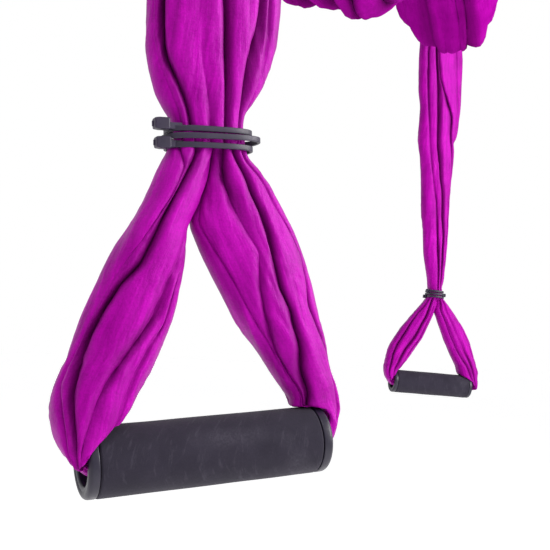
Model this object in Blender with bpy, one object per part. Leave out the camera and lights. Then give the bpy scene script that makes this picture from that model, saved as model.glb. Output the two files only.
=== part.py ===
"""Aerial yoga hammock: a gathered nylon sling hung from two screw-lock carabiners,
with one long fabric strap on each side that ends in a foam-gripped hand loop.

Frame: metres, +Z up, +X from the near hang point to the far one. The origin is the
inner crown of the near carabiner, where the ceiling eye bears.
"""

import math

import bmesh
import bpy
from mathutils import Matrix, Vector

# ---------------------------------------------------------------- dimensions
HANG_SPAN = 1.109          # between the two carabiner crowns
HANDLE_DROP = 1.400        # grip axis below the crowns
ROD_R = 0.005              # carabiner bar
CROWN_HALF = 0.020         # half width of the carabiner, bar centres, at the top
BASKET_HALF = 0.038        # and at the bottom
BODY_TOP = ROD_R           # bar centre at the top
BODY_BOTTOM = -0.097       # bar centre at the bottom
TOP_FILLET = 0.015
BOTTOM_FILLET = 0.012
PIN_AT = 0.022             # gate pin, along the gate side from its bottom corner
NOSE_AT = 0.076            # face of the nose, along the same side
GATE_R = 0.0046
NOSE_R = 0.0045
SLEEVE_IN = 0.0051
SLEEVE_OUT = 0.0074
SLEEVE_LONG = 0.022
SLEEVE_AT = 0.050
TONGUE_HALF = 0.0021
SLOT_HALF = 0.0025
GATE_BORE = 0.0024
LOOP_OFF = 0.0135          # strap and webbing sit this far each side of the centre
GAP = 0.0003

GRIP_LONG = 0.133
GRIP_R = 0.018
FOAM_IN = 0.0143
CORE_OUT = 0.0140
CORE_IN = 0.0126
CAP_THICK = 0.006
CAP_BORE = 0.0113
SPIGOT_R = 0.0123
SPIGOT_LONG = 0.014

TIE_BAND = 0.0036
TIE_THICK = 0.0014
WEB_WIDE = 0.020
WEB_THICK = 0.0024

ROUND = 32                 # facets of the turned pieces

# ---------------------------------------------------------------- fresh scene
for thing in list(bpy.data.objects):
    bpy.data.objects.remove(thing, do_unlink=True)


def material(name, colour, rough, metal=0.0):
    mat = bpy.data.materials.new(name)
    mat.use_nodes = True
    shader = mat.node_tree.nodes["Principled BSDF"]
    shader.inputs["Base Color"].default_value = (*colour, 1.0)
    shader.inputs["Roughness"].default_value = rough
    shader.inputs["Metallic"].default_value = metal
    mat.diffuse_color = (*colour, 1.0)
    return mat


NYLON = material("magenta_nylon", (0.38, 0.005, 0.33), 0.55)
FOAM = material("charcoal_foam", (0.051, 0.045, 0.062), 0.85)
CAP = material("black_cap_plastic", (0.045, 0.040, 0.055), 0.35)
CORE = material("core_tube_plastic", (0.55, 0.55, 0.52), 0.5)
TIE = material("black_tie_nylon", (0.030, 0.027, 0.036), 0.4)
STEEL = material("zinc_steel", (0.62, 0.63, 0.64), 0.3, 1.0)
SLEEVE = material("sleeve_steel", (0.50, 0.50, 0.52), 0.35, 1.0)
WEB = material("black_webbing", (0.025, 0.025, 0.028), 0.8)


# ---------------------------------------------------------------- mesh helpers
def as_object(name, bm, mat, parent=None, smooth_angle=None):
    """Turns a bmesh into an object whose faces point out."""
    bmesh.ops.recalc_face_normals(bm, faces=bm.faces[:])
    mesh = bpy.data.meshes.new(name)
    bm.to_mesh(mesh)
    bm.free()
    mesh.materials.append(mat)
    if smooth_angle is not None:
        mesh.shade_smooth()
        mesh.set_sharp_from_angle(angle=math.radians(smooth_angle))
    obj = bpy.data.objects.new(name, mesh)
    bpy.context.scene.collection.objects.link(obj)
    if parent is not None:
        obj.parent = parent
        obj.matrix_parent_inverse = parent.matrix_world.inverted()
    return obj


def pivot(name, place):
    """An empty that stands on a joint's axis and carries what turns about it."""
    empty = bpy.data.objects.new(name, None)
    empty.empty_display_size = 0.02
    empty.location = place
    bpy.context.scene.collection.objects.link(empty)
    bpy.context.view_layer.update()
    return empty


def skin(bm, rings, closed=False, caps=True):
    """Joins rings of equal count with quads, and closes the two ends."""
    loops = [[bm.verts.new(p) for p in ring] for ring in rings]
    count = len(loops[0])
    pairs = list(zip(loops, loops[1:]))
    if closed:
        pairs.append((loops[-1], loops[0]))
    for low, high in pairs:
        for i in range(count):
            j = (i + 1) % count
            bm.faces.new((low[i], low[j], high[j], high[i]))
    if caps and not closed:
        bm.faces.new(loops[0])
        bm.faces.new(list(reversed(loops[-1])))
    return loops


def lofted(name, rings, mat, parent=None, smooth_angle=60, closed=False):
    bm = bmesh.new()
    skin(bm, rings, closed=closed)
    return as_object(name, bm, mat, parent, smooth_angle)


def turned(name, profile, centre, axis, mat, parent=None, facets=ROUND, smooth_angle=40):
    """Spins a closed outline of (along, radius) points about an axis."""
    axis = axis.normalized()
    side = axis.orthogonal().normalized()
    bm = bmesh.new()
    verts = [bm.verts.new(centre + axis * s + side * r) for s, r in profile]
    edges = [bm.edges.new((verts[i], verts[(i + 1) % len(verts)])) for i in range(len(verts))]
    bmesh.ops.spin(
        bm, geom=verts + edges, cent=centre, axis=axis, angle=2 * math.pi,
        steps=facets, use_merge=True, use_duplicate=False,
    )
    bmesh.ops.remove_doubles(bm, verts=bm.verts[:], dist=1e-6)
    return as_object(name, bm, mat, parent, smooth_angle)


def disc_ring(centre, side, up, radius, facets):
    return [
        centre + side * (radius * math.cos(2 * math.pi * k / facets))
        + up * (radius * math.sin(2 * math.pi * k / facets))
        for k in range(facets)
    ]


def round_bar(name, stations, axis, mat, parent=None, facets=20, smooth_angle=40):
    """A solid bar turned about an axis: stations are (centre, radius)."""
    axis = axis.normalized()
    side = axis.orthogonal().normalized()
    up = axis.cross(side)
    rings = [disc_ring(c, side, up, r, facets) for c, r in stations]
    return lofted(name, rings, mat, parent, smooth_angle)


def box_cutter(name, frame, size):
    """A hidden box, centred on frame, for a Boolean."""
    bm = bmesh.new()
    bmesh.ops.create_cube(bm, size=1.0)
    bmesh.ops.transform(bm, matrix=frame @ Matrix.Diagonal((*size, 1.0)), verts=bm.verts[:])
    obj = as_object(name, bm, STEEL)
    obj.hide_render = True
    obj.display_type = "WIRE"
    return obj


def bar_cutter(name, start, end, radius, facets=20):
    axis = (end - start).normalized()
    obj = round_bar(name, [(start, radius), (end, radius)], axis, STEEL, facets=facets)
    obj.hide_render = True
    obj.display_type = "WIRE"
    return obj


def boolean(obj, other, operation):
    mod = obj.modifiers.new(operation.lower() + "_" + other.name, "BOOLEAN")
    mod.operation = operation
    mod.solver = "EXACT"
    mod.object = other
    return mod


def frame_of(origin, x_axis, y_axis, z_axis):
    m = Matrix((x_axis, y_axis, z_axis)).transposed().to_4x4()
    m.translation = origin
    return m


def fan_ring(inner, outer, lateral, wide, count, power=2.4, groove=0.0):
    """A closed section between an inner and an outer point, wide to each side.

    groove pushes the middle of the inner side towards the outer one, which opens
    the section into a trough."""
    middle = (inner + outer) / 2
    half = (outer - inner) / 2
    ring = []
    for k in range(count):
        a = 2 * math.pi * k / count
        c, s = math.cos(a), math.sin(a)
        along = math.copysign(abs(c) ** (2 / power), c)
        across = math.copysign(abs(s) ** (2 / power), s)
        point = middle + half * along + lateral * (wide * across)
        if groove > 0 and along < 0:
            fall = max(0.0, 1 - (across / 0.72) ** 2) ** 1.2
            point = point + half.normalized() * (groove * fall * min(1.0, -along * 2.2))
        ring.append(point)
    return ring


# ---------------------------------------------------------------- hardware
def fillet(corner, a, b, radius, steps):
    """Points of the arc that rounds a corner between the lines to a and to b."""
    to_a, to_b = (a - corner).normalized(), (b - corner).normalized()
    half = to_a.angle(to_b) / 2
    reach = radius / math.tan(half)
    centre = corner + (to_a + to_b).normalized() * (radius / math.sin(half))
    first, last = corner + to_a * reach, corner + to_b * reach
    v0, v1 = first - centre, last - centre
    total = v0.angle(v1)
    axis = v0.cross(v1).normalized()
    return [centre + Matrix.Rotation(total * k / steps, 3, axis) @ v0 for k in range(steps + 1)]


def carabiner(tag, centre_x, turn):
    """Body, gate, pin, plunger, spring and lock sleeve of one carabiner.

    turn is +1 on the near side, where the gate faces -X, and -1 on the far side."""
    def at(x, z, y=0.0):
        return Vector((centre_x + turn * x, turn * y, z))

    hinge_corner = at(-BASKET_HALF, BODY_BOTTOM)
    nose_corner = at(-CROWN_HALF, BODY_TOP)
    spine_low = at(BASKET_HALF, BODY_BOTTOM)
    spine_top = at(CROWN_HALF, BODY_TOP)
    side = (nose_corner - hinge_corner).normalized()
    across = Vector((0, 1, 0))
    inward = across.cross(side) * 1.0
    if inward.dot(at(0, 0) - at(-1, 0)) < 0:
        inward = -inward
    pin = hinge_corner + side * PIN_AT
    nose = hinge_corner + side * NOSE_AT

    # bar centre line, from the nose over the crown, down the spine and back to the pin
    line = [(nose, NOSE_R), (nose + side * 0.0075, NOSE_R), (nose + side * 0.0083, ROD_R)]
    for p in fillet(nose_corner, hinge_corner, spine_top, TOP_FILLET, 6):
        line.append((p, ROD_R))
    for p in fillet(spine_top, nose_corner, spine_low, TOP_FILLET, 6):
        line.append((p, ROD_R))
    for p in fillet(spine_low, spine_top, hinge_corner, BOTTOM_FILLET, 6):
        line.append((p, ROD_R))
    for p in fillet(hinge_corner, spine_low, nose_corner, BOTTOM_FILLET, 6):
        line.append((p, ROD_R))
    line.append((pin, ROD_R))
    rings = []
    for i, (p, r) in enumerate(line):
        ahead = line[min(i + 1, len(line) - 1)][0]
        behind = line[max(i - 1, 0)][0]
        along = (ahead - behind).normalized()
        if i in (0, 1, 2):
            along = side
        if i == len(line) - 1:
            along = side
        normal = across.cross(along).normalized()
        rings.append(disc_ring(p, across, normal, r, 12))
    body = lofted(f"{tag}_carabiner_body", rings, STEEL, smooth_angle=50)

    # the hinge end: a round eye, thinned to a tongue, drilled for the pin
    eye = round_bar(
        f"{tag}_cut_eye", [(pin - across * 0.0049, 0.0049), (pin + across * 0.0049, 0.0049)],
        across, STEEL, facets=20,
    )
    eye.hide_render = True
    eye.display_type = "WIRE"
    boolean(body, eye, "UNION")
    flank = frame_of(pin, across, inward, side)
    for sign, word in ((1, "left"), (-1, "right")):
        cheek = box_cutter(
            f"{tag}_cut_cheek_{word}",
            flank @ Matrix.Translation((sign * (TONGUE_HALF + 0.005), 0, 0.0015)),
            (0.010, 0.016, 0.0172),
        )
        boolean(body, cheek, "DIFFERENCE")
    hole = bar_cutter(f"{tag}_cut_pin_hole", pin - across * 0.02, pin + across * 0.02, 0.0018, 16)
    boolean(body, hole, "DIFFERENCE")

    # the gate: a tube from the pin to the nose, forked over the tongue
    hinge = pivot(f"{tag}_gate_axis", pin)
    gate_rings = []
    for s, r in ((0.0, GATE_R), (0.0500, GATE_R), (0.0528, GATE_R), (0.0535, GATE_R - 0.0006)):
        gate_rings.append(disc_ring(pin + side * s, across, inward, r, 20))
    gate = lofted(f"{tag}_carabiner_gate", gate_rings, STEEL, hinge, 50)
    gate_eye = round_bar(
        f"{tag}_cut_gate_eye", [(pin - across * 0.00455, 0.00455), (pin + across * 0.00455, 0.00455)],
        across, STEEL, facets=20,
    )
    gate_eye.hide_render = True
    gate_eye.display_type = "WIRE"
    boolean(gate, gate_eye, "UNION")
    slot = box_cutter(
        f"{tag}_cut_gate_slot", flank @ Matrix.Translation((0, 0, 0.0005)),
        (2 * SLOT_HALF, 0.016, 0.0142),
    )
    boolean(gate, slot, "DIFFERENCE")
    bore = bar_cutter(f"{tag}_cut_gate_bore", pin + side * 0.004, pin + side * 0.040, GATE_BORE, 14)
    boolean(gate, bore, "DIFFERENCE")
    boolean(gate, hole, "DIFFERENCE")

    round_bar(
        f"{tag}_gate_pin",
        [(pin - across * 0.0060, 0.0026), (pin - across * 0.0052, 0.0028),
         (pin - across * 0.0052, 0.0015), (pin + across * 0.0052, 0.0015),
         (pin + across * 0.0052, 0.0028), (pin + across * 0.0060, 0.0026)],
        across, STEEL, facets=16,
    )
    # plunger and coil inside the gate: the coil pushes the plunger onto the tongue
    round_bar(
        f"{tag}_gate_plunger",
        [(pin + side * 0.0053, 0.0012), (pin + side * 0.0062, 0.0020), (pin + side * 0.0125, 0.0020)],
        side, STEEL, hinge, facets=14,
    )
    turns, wire, mean = 9, 0.0003, 0.0016
    low, high = 0.0131, 0.0393
    helix = bpy.data.curves.new(f"{tag}_gate_spring", "CURVE")
    helix.dimensions = "3D"
    helix.bevel_depth = wire
    helix.bevel_resolution = 1
    helix.use_fill_caps = True
    helix.resolution_u = 1
    helix.render_resolution_u = 0
    spline = helix.splines.new("POLY")
    count = turns * 9
    spline.points.add(count)
    for k in range(count + 1):
        a = 2 * math.pi * turns * k / count
        rise = low + wire + (high - low - 2 * wire) * k / count
        p = (pin + side * rise + across * (mean * math.cos(a)) + inward * (mean * math.sin(a)))
        spline.points[k].co = (*(p - pin), 1.0)
    helix.materials.append(STEEL)
    coil = bpy.data.objects.new(f"{tag}_gate_spring", helix)
    bpy.context.scene.collection.objects.link(coil)
    coil.parent = hinge

    # knurled lock sleeve, in its unlocked place
    s0 = pin + side * (SLEEVE_AT - PIN_AT)
    flutes = 18
    rings = []
    for s, grow in ((0.0, -0.0006), (0.0008, 0.0), (SLEEVE_LONG - 0.0008, 0.0), (SLEEVE_LONG, -0.0006)):
        ring = []
        for k in range(2 * flutes):
            a = math.pi * k / flutes
            r = SLEEVE_OUT + grow - (0.0005 if k % 2 else 0.0)
            ring.append(s0 + side * s + across * (r * math.cos(a)) + inward * (r * math.sin(a)))
        rings.append(ring)
    for s in (SLEEVE_LONG, 0.0):
        rings.append([
            s0 + side * s + across * (SLEEVE_IN * math.cos(math.pi * k / flutes))
            + inward * (SLEEVE_IN * math.sin(math.pi * k / flutes))
            for k in range(2 * flutes)
        ])
    lofted(f"{tag}_lock_sleeve", rings, SLEEVE, hinge, 30, closed=True)


def hammock_end(tag, centre_x, turn, start, run):
    """Webbing loop over the carabiner bar, and the band that binds it to the cloth."""
    def at(x, y, z):
        return Vector((centre_x + turn * x, turn * y, z))

    bar = at(LOOP_OFF, 0, BODY_BOTTOM)
    wide = Vector((1, 0, 0))
    inner = ROD_R + 0.0006
    mid = inner + WEB_THICK / 2
    foot_y = 0.0240 + GAP + WEB_THICK / 2 + 0.0003
    lean = run
    # middle line of the webbing, from one foot over the bar to the other
    arc = []
    drop = 0.030
    arc.append((start + lean * drop, foot_y))
    arc.append((start + lean * 0.000, foot_y))
    arc.append((start - lean * 0.008, foot_y - 0.0012))
    knee = start - lean * 0.008
    for k in range(1, 6):
        t = k / 6
        p = knee.lerp(bar + Vector((0, 0, 0.001)), t)
        arc.append((p, (foot_y - 0.0012) * (1 - t) + mid * t + 0.002 * math.sin(math.pi * t)))
    for k in range(0, 5):
        a = 0.5 * math.pi * k / 4
        arc.append((bar + Vector((0, 0, mid * math.sin(a))), mid * math.cos(a)))
    half = [(p, y) for p, y in arc]
    line = [Vector((p.x, y, p.z)) for p, y in half]
    line += [Vector((p.x, -y, p.z)) for p, y in reversed(half[:-1])]
    rings = []
    for i, p in enumerate(line):
        along = (line[min(i + 1, len(line) - 1)] - line[max(i - 1, 0)]).normalized()
        flat = (wide - along * wide.dot(along)).normalized()
        thick = along.cross(flat).normalized()
        w, t = WEB_WIDE / 2, WEB_THICK / 2
        rings.append([p + flat * w + thick * t, p - flat * w + thick * t,
                      p - flat * w - thick * t, p + flat * w - thick * t])
    lofted(f"{tag}_end_webbing", rings, WEB, smooth_angle=30)

    # binding: a flat band round the webbing feet and the gathered cloth
    in_side = Vector((0, 1, 0))
    cross = in_side.cross(lean).normalized()
    loops = []
    a_in, b_in = foot_y + WEB_THICK / 2 + 0.0006, 0.0192
    for s, grow in ((0.002, 0.0), (0.002, 0.0022), (0.028, 0.0022), (0.028, 0.0)):
        ring = []
        for k in range(32):
            ang = 2 * math.pi * k / 32
            c, sn = math.cos(ang), math.sin(ang)
            y = math.copysign(abs(c) ** 0.42, c) * (a_in + grow)
            x = math.copysign(abs(sn) ** 0.42, sn) * (b_in + grow)
            ring.append(start + lean * s + in_side * y + cross * x)
        loops.append(ring)
    lofted(f"{tag}_end_binding", loops, WEB, smooth_angle=40, closed=True)


# ---------------------------------------------------------------- hand loops
def loop_axes(degrees):
    """Handle direction and the direction that faces out of the loop's plane."""
    a = math.radians(degrees)
    along = Vector((math.cos(a), math.sin(a), 0.0))
    return along, along.cross(Vector((0, 0, 1)))


# Leg sections, in millimetres in the loop's plane: inner (along, up), outer (along, up),
# half thickness. Heights are above the grip axis; the lower rows are in the grip's own frame.
NEAR_LEFT = [
    (-3.4, 183.5, -31.6, 183.5, 10.4), (-3.6, 177.0, -27.4, 177.0, 9.6),
    (-3.4, 171.0, -22.4, 171.0, 9.0),
    (-3.0, 157.0, -24.2, 155.0, 9.0), (-5.4, 143.0, -31.8, 145.0, 9.8),
    (-8.8, 130.0, -38.0, 132.0, 11.0), (-13.8, 116.5, -44.2, 119.0, 12.5),
    (-15.4, 101.0, -52.2, 105.0, 13.5), (-16.8, 86.0, -59.6, 90.0, 14.0),
    (-19.6, 70.0, -66.4, 75.0, 14.0), (-24.0, 55.0, -71.4, 60.0, 14.0),
    (-30.0, 42.0, -76.4, 45.0, 14.0), (-38.5, 30.0, -81.4, 32.0, 14.0),
]
NEAR_RIGHT = [
    (-1.4, 183.5, 19.4, 183.5, 10.4), (-1.6, 177.0, 17.4, 177.0, 9.6),
    (-1.4, 171.0, 18.4, 171.0, 9.0),
    (-1.2, 157.0, 19.6, 159.0, 9.0), (-3.4, 143.0, 29.4, 146.0, 9.8),
    (-6.6, 130.0, 37.8, 133.5, 11.0), (-10.4, 117.5, 46.6, 120.0, 12.0),
    (-6.2, 105.0, 53.2, 106.5, 12.5), (1.2, 92.0, 58.0, 93.0, 13.0),
    (9.8, 78.0, 63.2, 79.0, 13.5), (19.4, 64.0, 68.0, 65.5, 13.5),
    (31.0, 50.0, 71.8, 52.0, 14.0), (41.0, 37.5, 76.4, 39.5, 14.0),
]
FAR_LEFT = [
    (1.2, 160.5, -11.0, 160.5, 12.0), (1.1, 152.0, -9.8, 152.0, 15.0),
    (1.1, 146.0, -8.8, 146.0, 16.0), (1.1, 136.4, -9.2, 136.4, 15.4),
    (1.6, 129.0, -17.8, 129.5, 13.0), (1.0, 117.0, -27.2, 118.5, 12.5),
    (-4.6, 101.5, -41.8, 102.5, 13.0), (-12.0, 84.0, -56.2, 85.0, 13.5),
    (-20.0, 67.5, -67.4, 69.0, 14.0), (-30.6, 51.0, -76.2, 52.0, 14.0),
    (-40.6, 39.5, -79.8, 40.0, 14.0), (-49.4, 30.0, -81.6, 30.0, 14.0),
]
FAR_RIGHT = [
    (1.8, 160.5, 14.2, 160.5, 12.0), (1.7, 152.0, 11.8, 152.0, 15.0),
    (1.7, 146.0, 11.2, 146.0, 16.0), (1.7, 134.2, 11.8, 134.2, 15.4),
    (2.2, 127.0, 23.2, 127.0, 12.8), (3.0, 114.5, 32.8, 115.0, 12.5),
    (7.4, 99.5, 44.4, 100.0, 13.0), (13.2, 84.0, 54.8, 84.5, 13.5),
    (20.8, 67.0, 63.0, 68.0, 14.0), (29.0, 50.5, 69.0, 51.5, 14.0),
    (36.0, 37.5, 73.8, 38.5, 14.0), (41.6, 28.0, 76.2, 29.0, 14.0),
]
# The turn round the grip's end into its bore: along from the end face, up, half thickness.
TURN = [
    (-20.0, 22.0, 15.5, 27.0, 13.5), (-10.5, 20.8, 14.6, 20.0, 12.8),
    (-2.2, 20.2, 12.6, 12.5, 11.8), (1.7, 17.0, 9.8, 5.0, 10.8),
    (1.3, 12.4, 7.0, -1.5, 9.8), (0.9, 8.9, 3.8, -6.4, 9.1),
    (-0.6, 8.7, -0.2, -8.7, 8.8), (-8.0, 8.7, -8.0, -8.7, 8.7),
]


def squared(x, power=0.68):
    """Sine or cosine of a rounded rectangle in place of an ellipse."""
    return math.copysign(abs(x) ** power, x)


def hand_loop(tag, place, degrees, tilt, grip_at, left, right, reach_out, ties):
    """One hand loop: two legs, the cloth through the grip, three ties and the grip."""
    along, out = loop_axes(degrees)
    up = Vector((0, 0, 1))
    t = math.radians(tilt)
    axis = along * math.cos(t) + up * math.sin(t)
    lift = up * math.cos(t) - along * math.sin(t)
    centre = place + along * (grip_at[0] / 1000) + up * (grip_at[1] / 1000)

    def plane(a, z, w=0.0):
        return place + along * (a / 1000) + up * (z / 1000) + out * (w / 1000)

    def grip_plane(a, z):
        return centre + axis * (a / 1000) + lift * (z / 1000)

    swivel = pivot(f"{tag}_loop_axis", plane(0, left[0][1]))
    half = 1000 * GRIP_LONG / 2
    for side, rows, sign, reach in (("left", left, -1, reach_out[0]), ("right", right, 1, reach_out[1])):
        stations = [(plane(a, z), plane(b, y), h) for a, z, b, y, h in rows]
        for a, z, b, y, h in TURN:
            grow = reach if b > 9 else 1.0
            stations.append((
                grip_plane(sign * (half + a), z), grip_plane(sign * (half + b * grow), y), h,
            ))
        rings = [fan_ring(inner, outer, out, h / 1000, 14, power=2.3) for inner, outer, h in stations]
        lofted(f"{tag}_{side}_leg", rings, NYLON, swivel, 70)

    # the cloth bundle that runs through the grip between the two legs
    inside = half - 8.0 - 1000 * GAP
    round_bar(
        f"{tag}_inner_cloth",
        [(grip_plane(-inside, 0), 0.0087), (grip_plane(inside, 0), 0.0087)],
        axis, NYLON, swivel, facets=14,
    )

    # cable ties
    for word, (a0, z0, wide, deep, lean, head_at) in ties.items():
        r = math.radians(lean)
        u = along * math.cos(r) + up * math.sin(r)
        v = up * math.cos(r) - along * math.sin(r)
        mid = plane(a0, z0)
        rings = []
        facets = 28
        for rise, grow in ((-0.5, 0.0), (-0.5, 1.0), (0.5, 1.0), (0.5, 0.0)):
            rings.append([
                mid + u * ((wide / 1000 + grow * TIE_THICK) * squared(math.cos(2 * math.pi * k / facets)))
                + out * ((deep / 1000 + grow * TIE_THICK) * squared(math.sin(2 * math.pi * k / facets)))
                + v * (rise * TIE_BAND)
                for k in range(facets)
            ])
        band = lofted(f"{tag}_cable_tie_{word}", rings, TIE, swivel, 40, closed=True)
        h = math.radians(head_at)
        rim = (mid + u * ((wide / 1000 + TIE_THICK) * squared(math.cos(h)))
               + out * ((deep / 1000 + TIE_THICK) * squared(math.sin(h))))
        normal = (u * (math.cos(h) / wide) + out * (math.sin(h) / deep)).normalized()
        tangent = v.cross(normal).normalized()
        head = box_cutter(
            f"{tag}_cut_head_{word}",
            frame_of(rim + normal * 0.0018, tangent, normal, v), (0.0062, 0.0050, 0.0050),
        )
        boolean(band, head, "UNION")

    # the grip turns about its own axis
    spin = pivot(f"{tag}_grip_axis", centre)
    end = GRIP_LONG / 2
    foam_end = end - CAP_THICK
    turned(
        f"{tag}_foam_grip",
        [(-foam_end, FOAM_IN), (-foam_end, GRIP_R - 0.0012), (-foam_end + 0.0012, GRIP_R),
         (foam_end - 0.0012, GRIP_R), (foam_end, GRIP_R - 0.0012), (foam_end, FOAM_IN)],
        centre, axis, FOAM, spin,
    )
    turned(
        f"{tag}_core_tube",
        [(-foam_end, CORE_IN), (-foam_end, CORE_OUT), (foam_end, CORE_OUT), (foam_end, CORE_IN)],
        centre, axis, CORE, spin,
    )
    for side, sign in (("left", -1), ("right", 1)):
        face = sign * end
        seat = sign * (foam_end + GAP)
        toe = sign * (foam_end - SPIGOT_LONG)
        turned(
            f"{tag}_end_cap_{side}",
            [(toe, CAP_BORE), (toe, SPIGOT_R), (seat, SPIGOT_R), (seat, GRIP_R - 0.0008),
             (seat + sign * 0.0008, GRIP_R - 0.0002), (face - sign * 0.0014, GRIP_R - 0.0002),
             (face, GRIP_R - 0.0014), (face, CAP_BORE + 0.0008), (face - sign * 0.0008, CAP_BORE)],
            centre, axis, CAP, spin,
        )
    return centre, axis


def strap(tag, centre_x, turn, degrees, rows):
    """The long gathered strap, from the carabiner bar down to the cable ties."""
    x = centre_x - turn * LOOP_OFF
    bar_z = BODY_BOTTOM
    turning = math.radians(degrees)
    rings = []
    # over the bar: a half-round cap, then straight sides
    for dz, hy in ((8.6, 2.6), (7.4, 5.2), (4.8, 7.8), (0.0, 9.2), (-8.0, 9.2)):
        z = bar_z + dz / 1000
        rings.append([
            Vector((x + math.copysign(abs(math.cos(a)) ** 0.5, math.cos(a)) * 0.0100,
                    math.copysign(abs(math.sin(a)) ** 0.7, math.sin(a)) * hy / 1000, z))
            for a in (2 * math.pi * k / 16 for k in range(16))
        ])
    for height, left, right, deep, twist in rows:
        a0 = turning * twist
        e = Vector((math.cos(a0), math.sin(a0), 0))
        n = Vector((-math.sin(a0), math.cos(a0), 0))
        z = -HANDLE_DROP + height / 1000
        middle, wide = (right - left) / 2, (right + left) / 2
        rings.append([
            Vector((x, 0, z)) + e * (middle / 1000)
            + e * (math.copysign(abs(math.cos(a)) ** 0.8, math.cos(a)) * wide / 1000)
            + n * (math.copysign(abs(math.sin(a)) ** 0.8, math.sin(a)) * deep / 1000)
            for a in (2 * math.pi * k / 16 for k in range(16))
        ])
    swing = pivot(f"{tag}_strap_axis", Vector((x, 0, bar_z)))
    cloth = lofted(f"{tag}_strap_cloth", rings, NYLON, swing, 70)
    eye = bar_cutter(
        f"{tag}_cut_strap_eye", Vector((x - 0.03, 0, bar_z)), Vector((x + 0.03, 0, bar_z)),
        ROD_R + 0.0006, 16,
    )
    boolean(cloth, eye, "DIFFERENCE")
    return Vector((x, 0, -HANDLE_DROP))


# ---------------------------------------------------------------- hammock cloth
# Sections down the cloth: inner (x, z), outer (x, z), middle y, half width, groove, in metres.
# Heights are above the grip axis. The outer side is the underside of the sling.
CLOTH = [
    (0.0780, 1.082, 0.0280, 1.074, 0.000, 0.032, 0.000),
    (0.1060, 0.955, 0.0420, 0.940, 0.003, 0.041, 0.000),
    (0.1400, 0.830, 0.0600, 0.800, 0.006, 0.050, 0.006),
    (0.1800, 0.725, 0.0860, 0.665, 0.010, 0.060, 0.016),
    (0.2260, 0.650, 0.1320, 0.560, 0.014, 0.070, 0.026),
    (0.2880, 0.592, 0.2120, 0.482, 0.018, 0.079, 0.036),
    (0.3620, 0.550, 0.3200, 0.428, 0.022, 0.086, 0.044),
    (0.4360, 0.526, 0.4180, 0.399, 0.026, 0.089, 0.048),
    (0.5060, 0.520, 0.5060, 0.394, 0.028, 0.089, 0.048),
    (0.5620, 0.534, 0.5720, 0.416, 0.026, 0.087, 0.044),
    (0.6200, 0.560, 0.6340, 0.452, 0.022, 0.084, 0.038),
    (0.6820, 0.600, 0.7000, 0.502, 0.014, 0.080, 0.030),
    (0.7480, 0.640, 0.7680, 0.546, 0.004, 0.076, 0.026),
    (0.8160, 0.662, 0.8360, 0.568, -0.006, 0.073, 0.024),
    (0.8680, 0.674, 0.8940, 0.566, -0.016, 0.073, 0.024),
    (0.9060, 0.684, 0.9440, 0.540, -0.024, 0.075, 0.024),
    (0.9340, 0.696, 0.9900, 0.508, -0.028, 0.077, 0.022),
    (0.9560, 0.714, 1.0300, 0.508, -0.028, 0.075, 0.018),
    (0.9720, 0.744, 1.0560, 0.548, -0.026, 0.068, 0.012),
    (0.9820, 0.790, 1.0640, 0.630, -0.022, 0.060, 0.008),
    (0.9900, 0.850, 1.0660, 0.740, -0.016, 0.052, 0.004),
    (1.0020, 0.930, 1.0670, 0.880, -0.010, 0.044, 0.000),
    (1.0200, 1.020, 1.0700, 1.000, -0.004, 0.036, 0.000),
    (1.0360, 1.082, 1.0780, 1.074, 0.000, 0.030, 0.000),
]
END_TOP = (0.034, 1.195)     # top of the gathered end, x and height above the grip axis
END_LEAN = (0.1514, -0.9885)
END_HALF = (0.018, 0.024)
END_LONG = 0.036
SEAT_FROM, SEAT_TO = 4, 16   # rows where the seat begins and ends


def end_rings(centre_x, turn):
    """The two straight rings of a gathered end, inside the binding."""
    start = Vector((centre_x + turn * END_TOP[0], 0, -HANDLE_DROP + END_TOP[1]))
    lean = Vector((turn * END_LEAN[0], 0, END_LEAN[1])).normalized()
    inner_side = Vector((turn * 0.9885, 0, 0.1514)).normalized()
    rings = []
    for s in (0.0, END_LONG):
        c = start + lean * s
        rings.append(fan_ring(
            c + inner_side * END_HALF[0], c - inner_side * END_HALF[0],
            Vector((0, 1, 0)), END_HALF[1], 20, power=2.6,
        ))
    return start, lean, rings


def hammock():
    lateral = Vector((0, 1, 0))

    def ring(row):
        x0, z0, x1, z1, y, wide, groove = row
        inner = Vector((x0, y, z0 - HANDLE_DROP))
        outer = Vector((x1, y, z1 - HANDLE_DROP))
        return fan_ring(inner, outer, lateral, wide, 20, power=2.4, groove=groove)

    near_start, near_lean, near_rings = end_rings(0.0, 1)
    far_start, far_lean, far_rings = end_rings(HANG_SPAN, -1)
    rings = [ring(row) for row in CLOTH]

    def shifted(ring_points, direction):
        return [p + direction * GAP for p in ring_points]

    seat_first, seat_last = rings[SEAT_FROM], rings[SEAT_TO]
    toward = (rings[SEAT_FROM - 1][0] - seat_first[0]).normalized()
    beyond = (rings[SEAT_TO + 1][0] - seat_last[0]).normalized()

    def plane_normal(points, toward_point):
        n = (points[5] - points[0]).cross(points[10] - points[0]).normalized()
        c = sum(points, Vector()) / len(points)
        return n if n.dot(toward_point - c) > 0 else -n

    centre = lambda pts: sum(pts, Vector()) / len(pts)
    n_near = plane_normal(seat_first, centre(rings[SEAT_FROM - 1]))
    n_far = plane_normal(seat_last, centre(rings[SEAT_TO + 1]))
    lofted("hammock_near_arm", near_rings + rings[:SEAT_FROM] + [shifted(seat_first, n_near)], NYLON)
    lofted("hammock_seat", rings[SEAT_FROM:SEAT_TO + 1], NYLON)
    lofted("hammock_far_arm", [shifted(seat_last, n_far)] + rings[SEAT_TO + 1:] + list(reversed(far_rings)), NYLON)
    return (near_start, near_lean), (far_start, far_lean)


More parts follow.
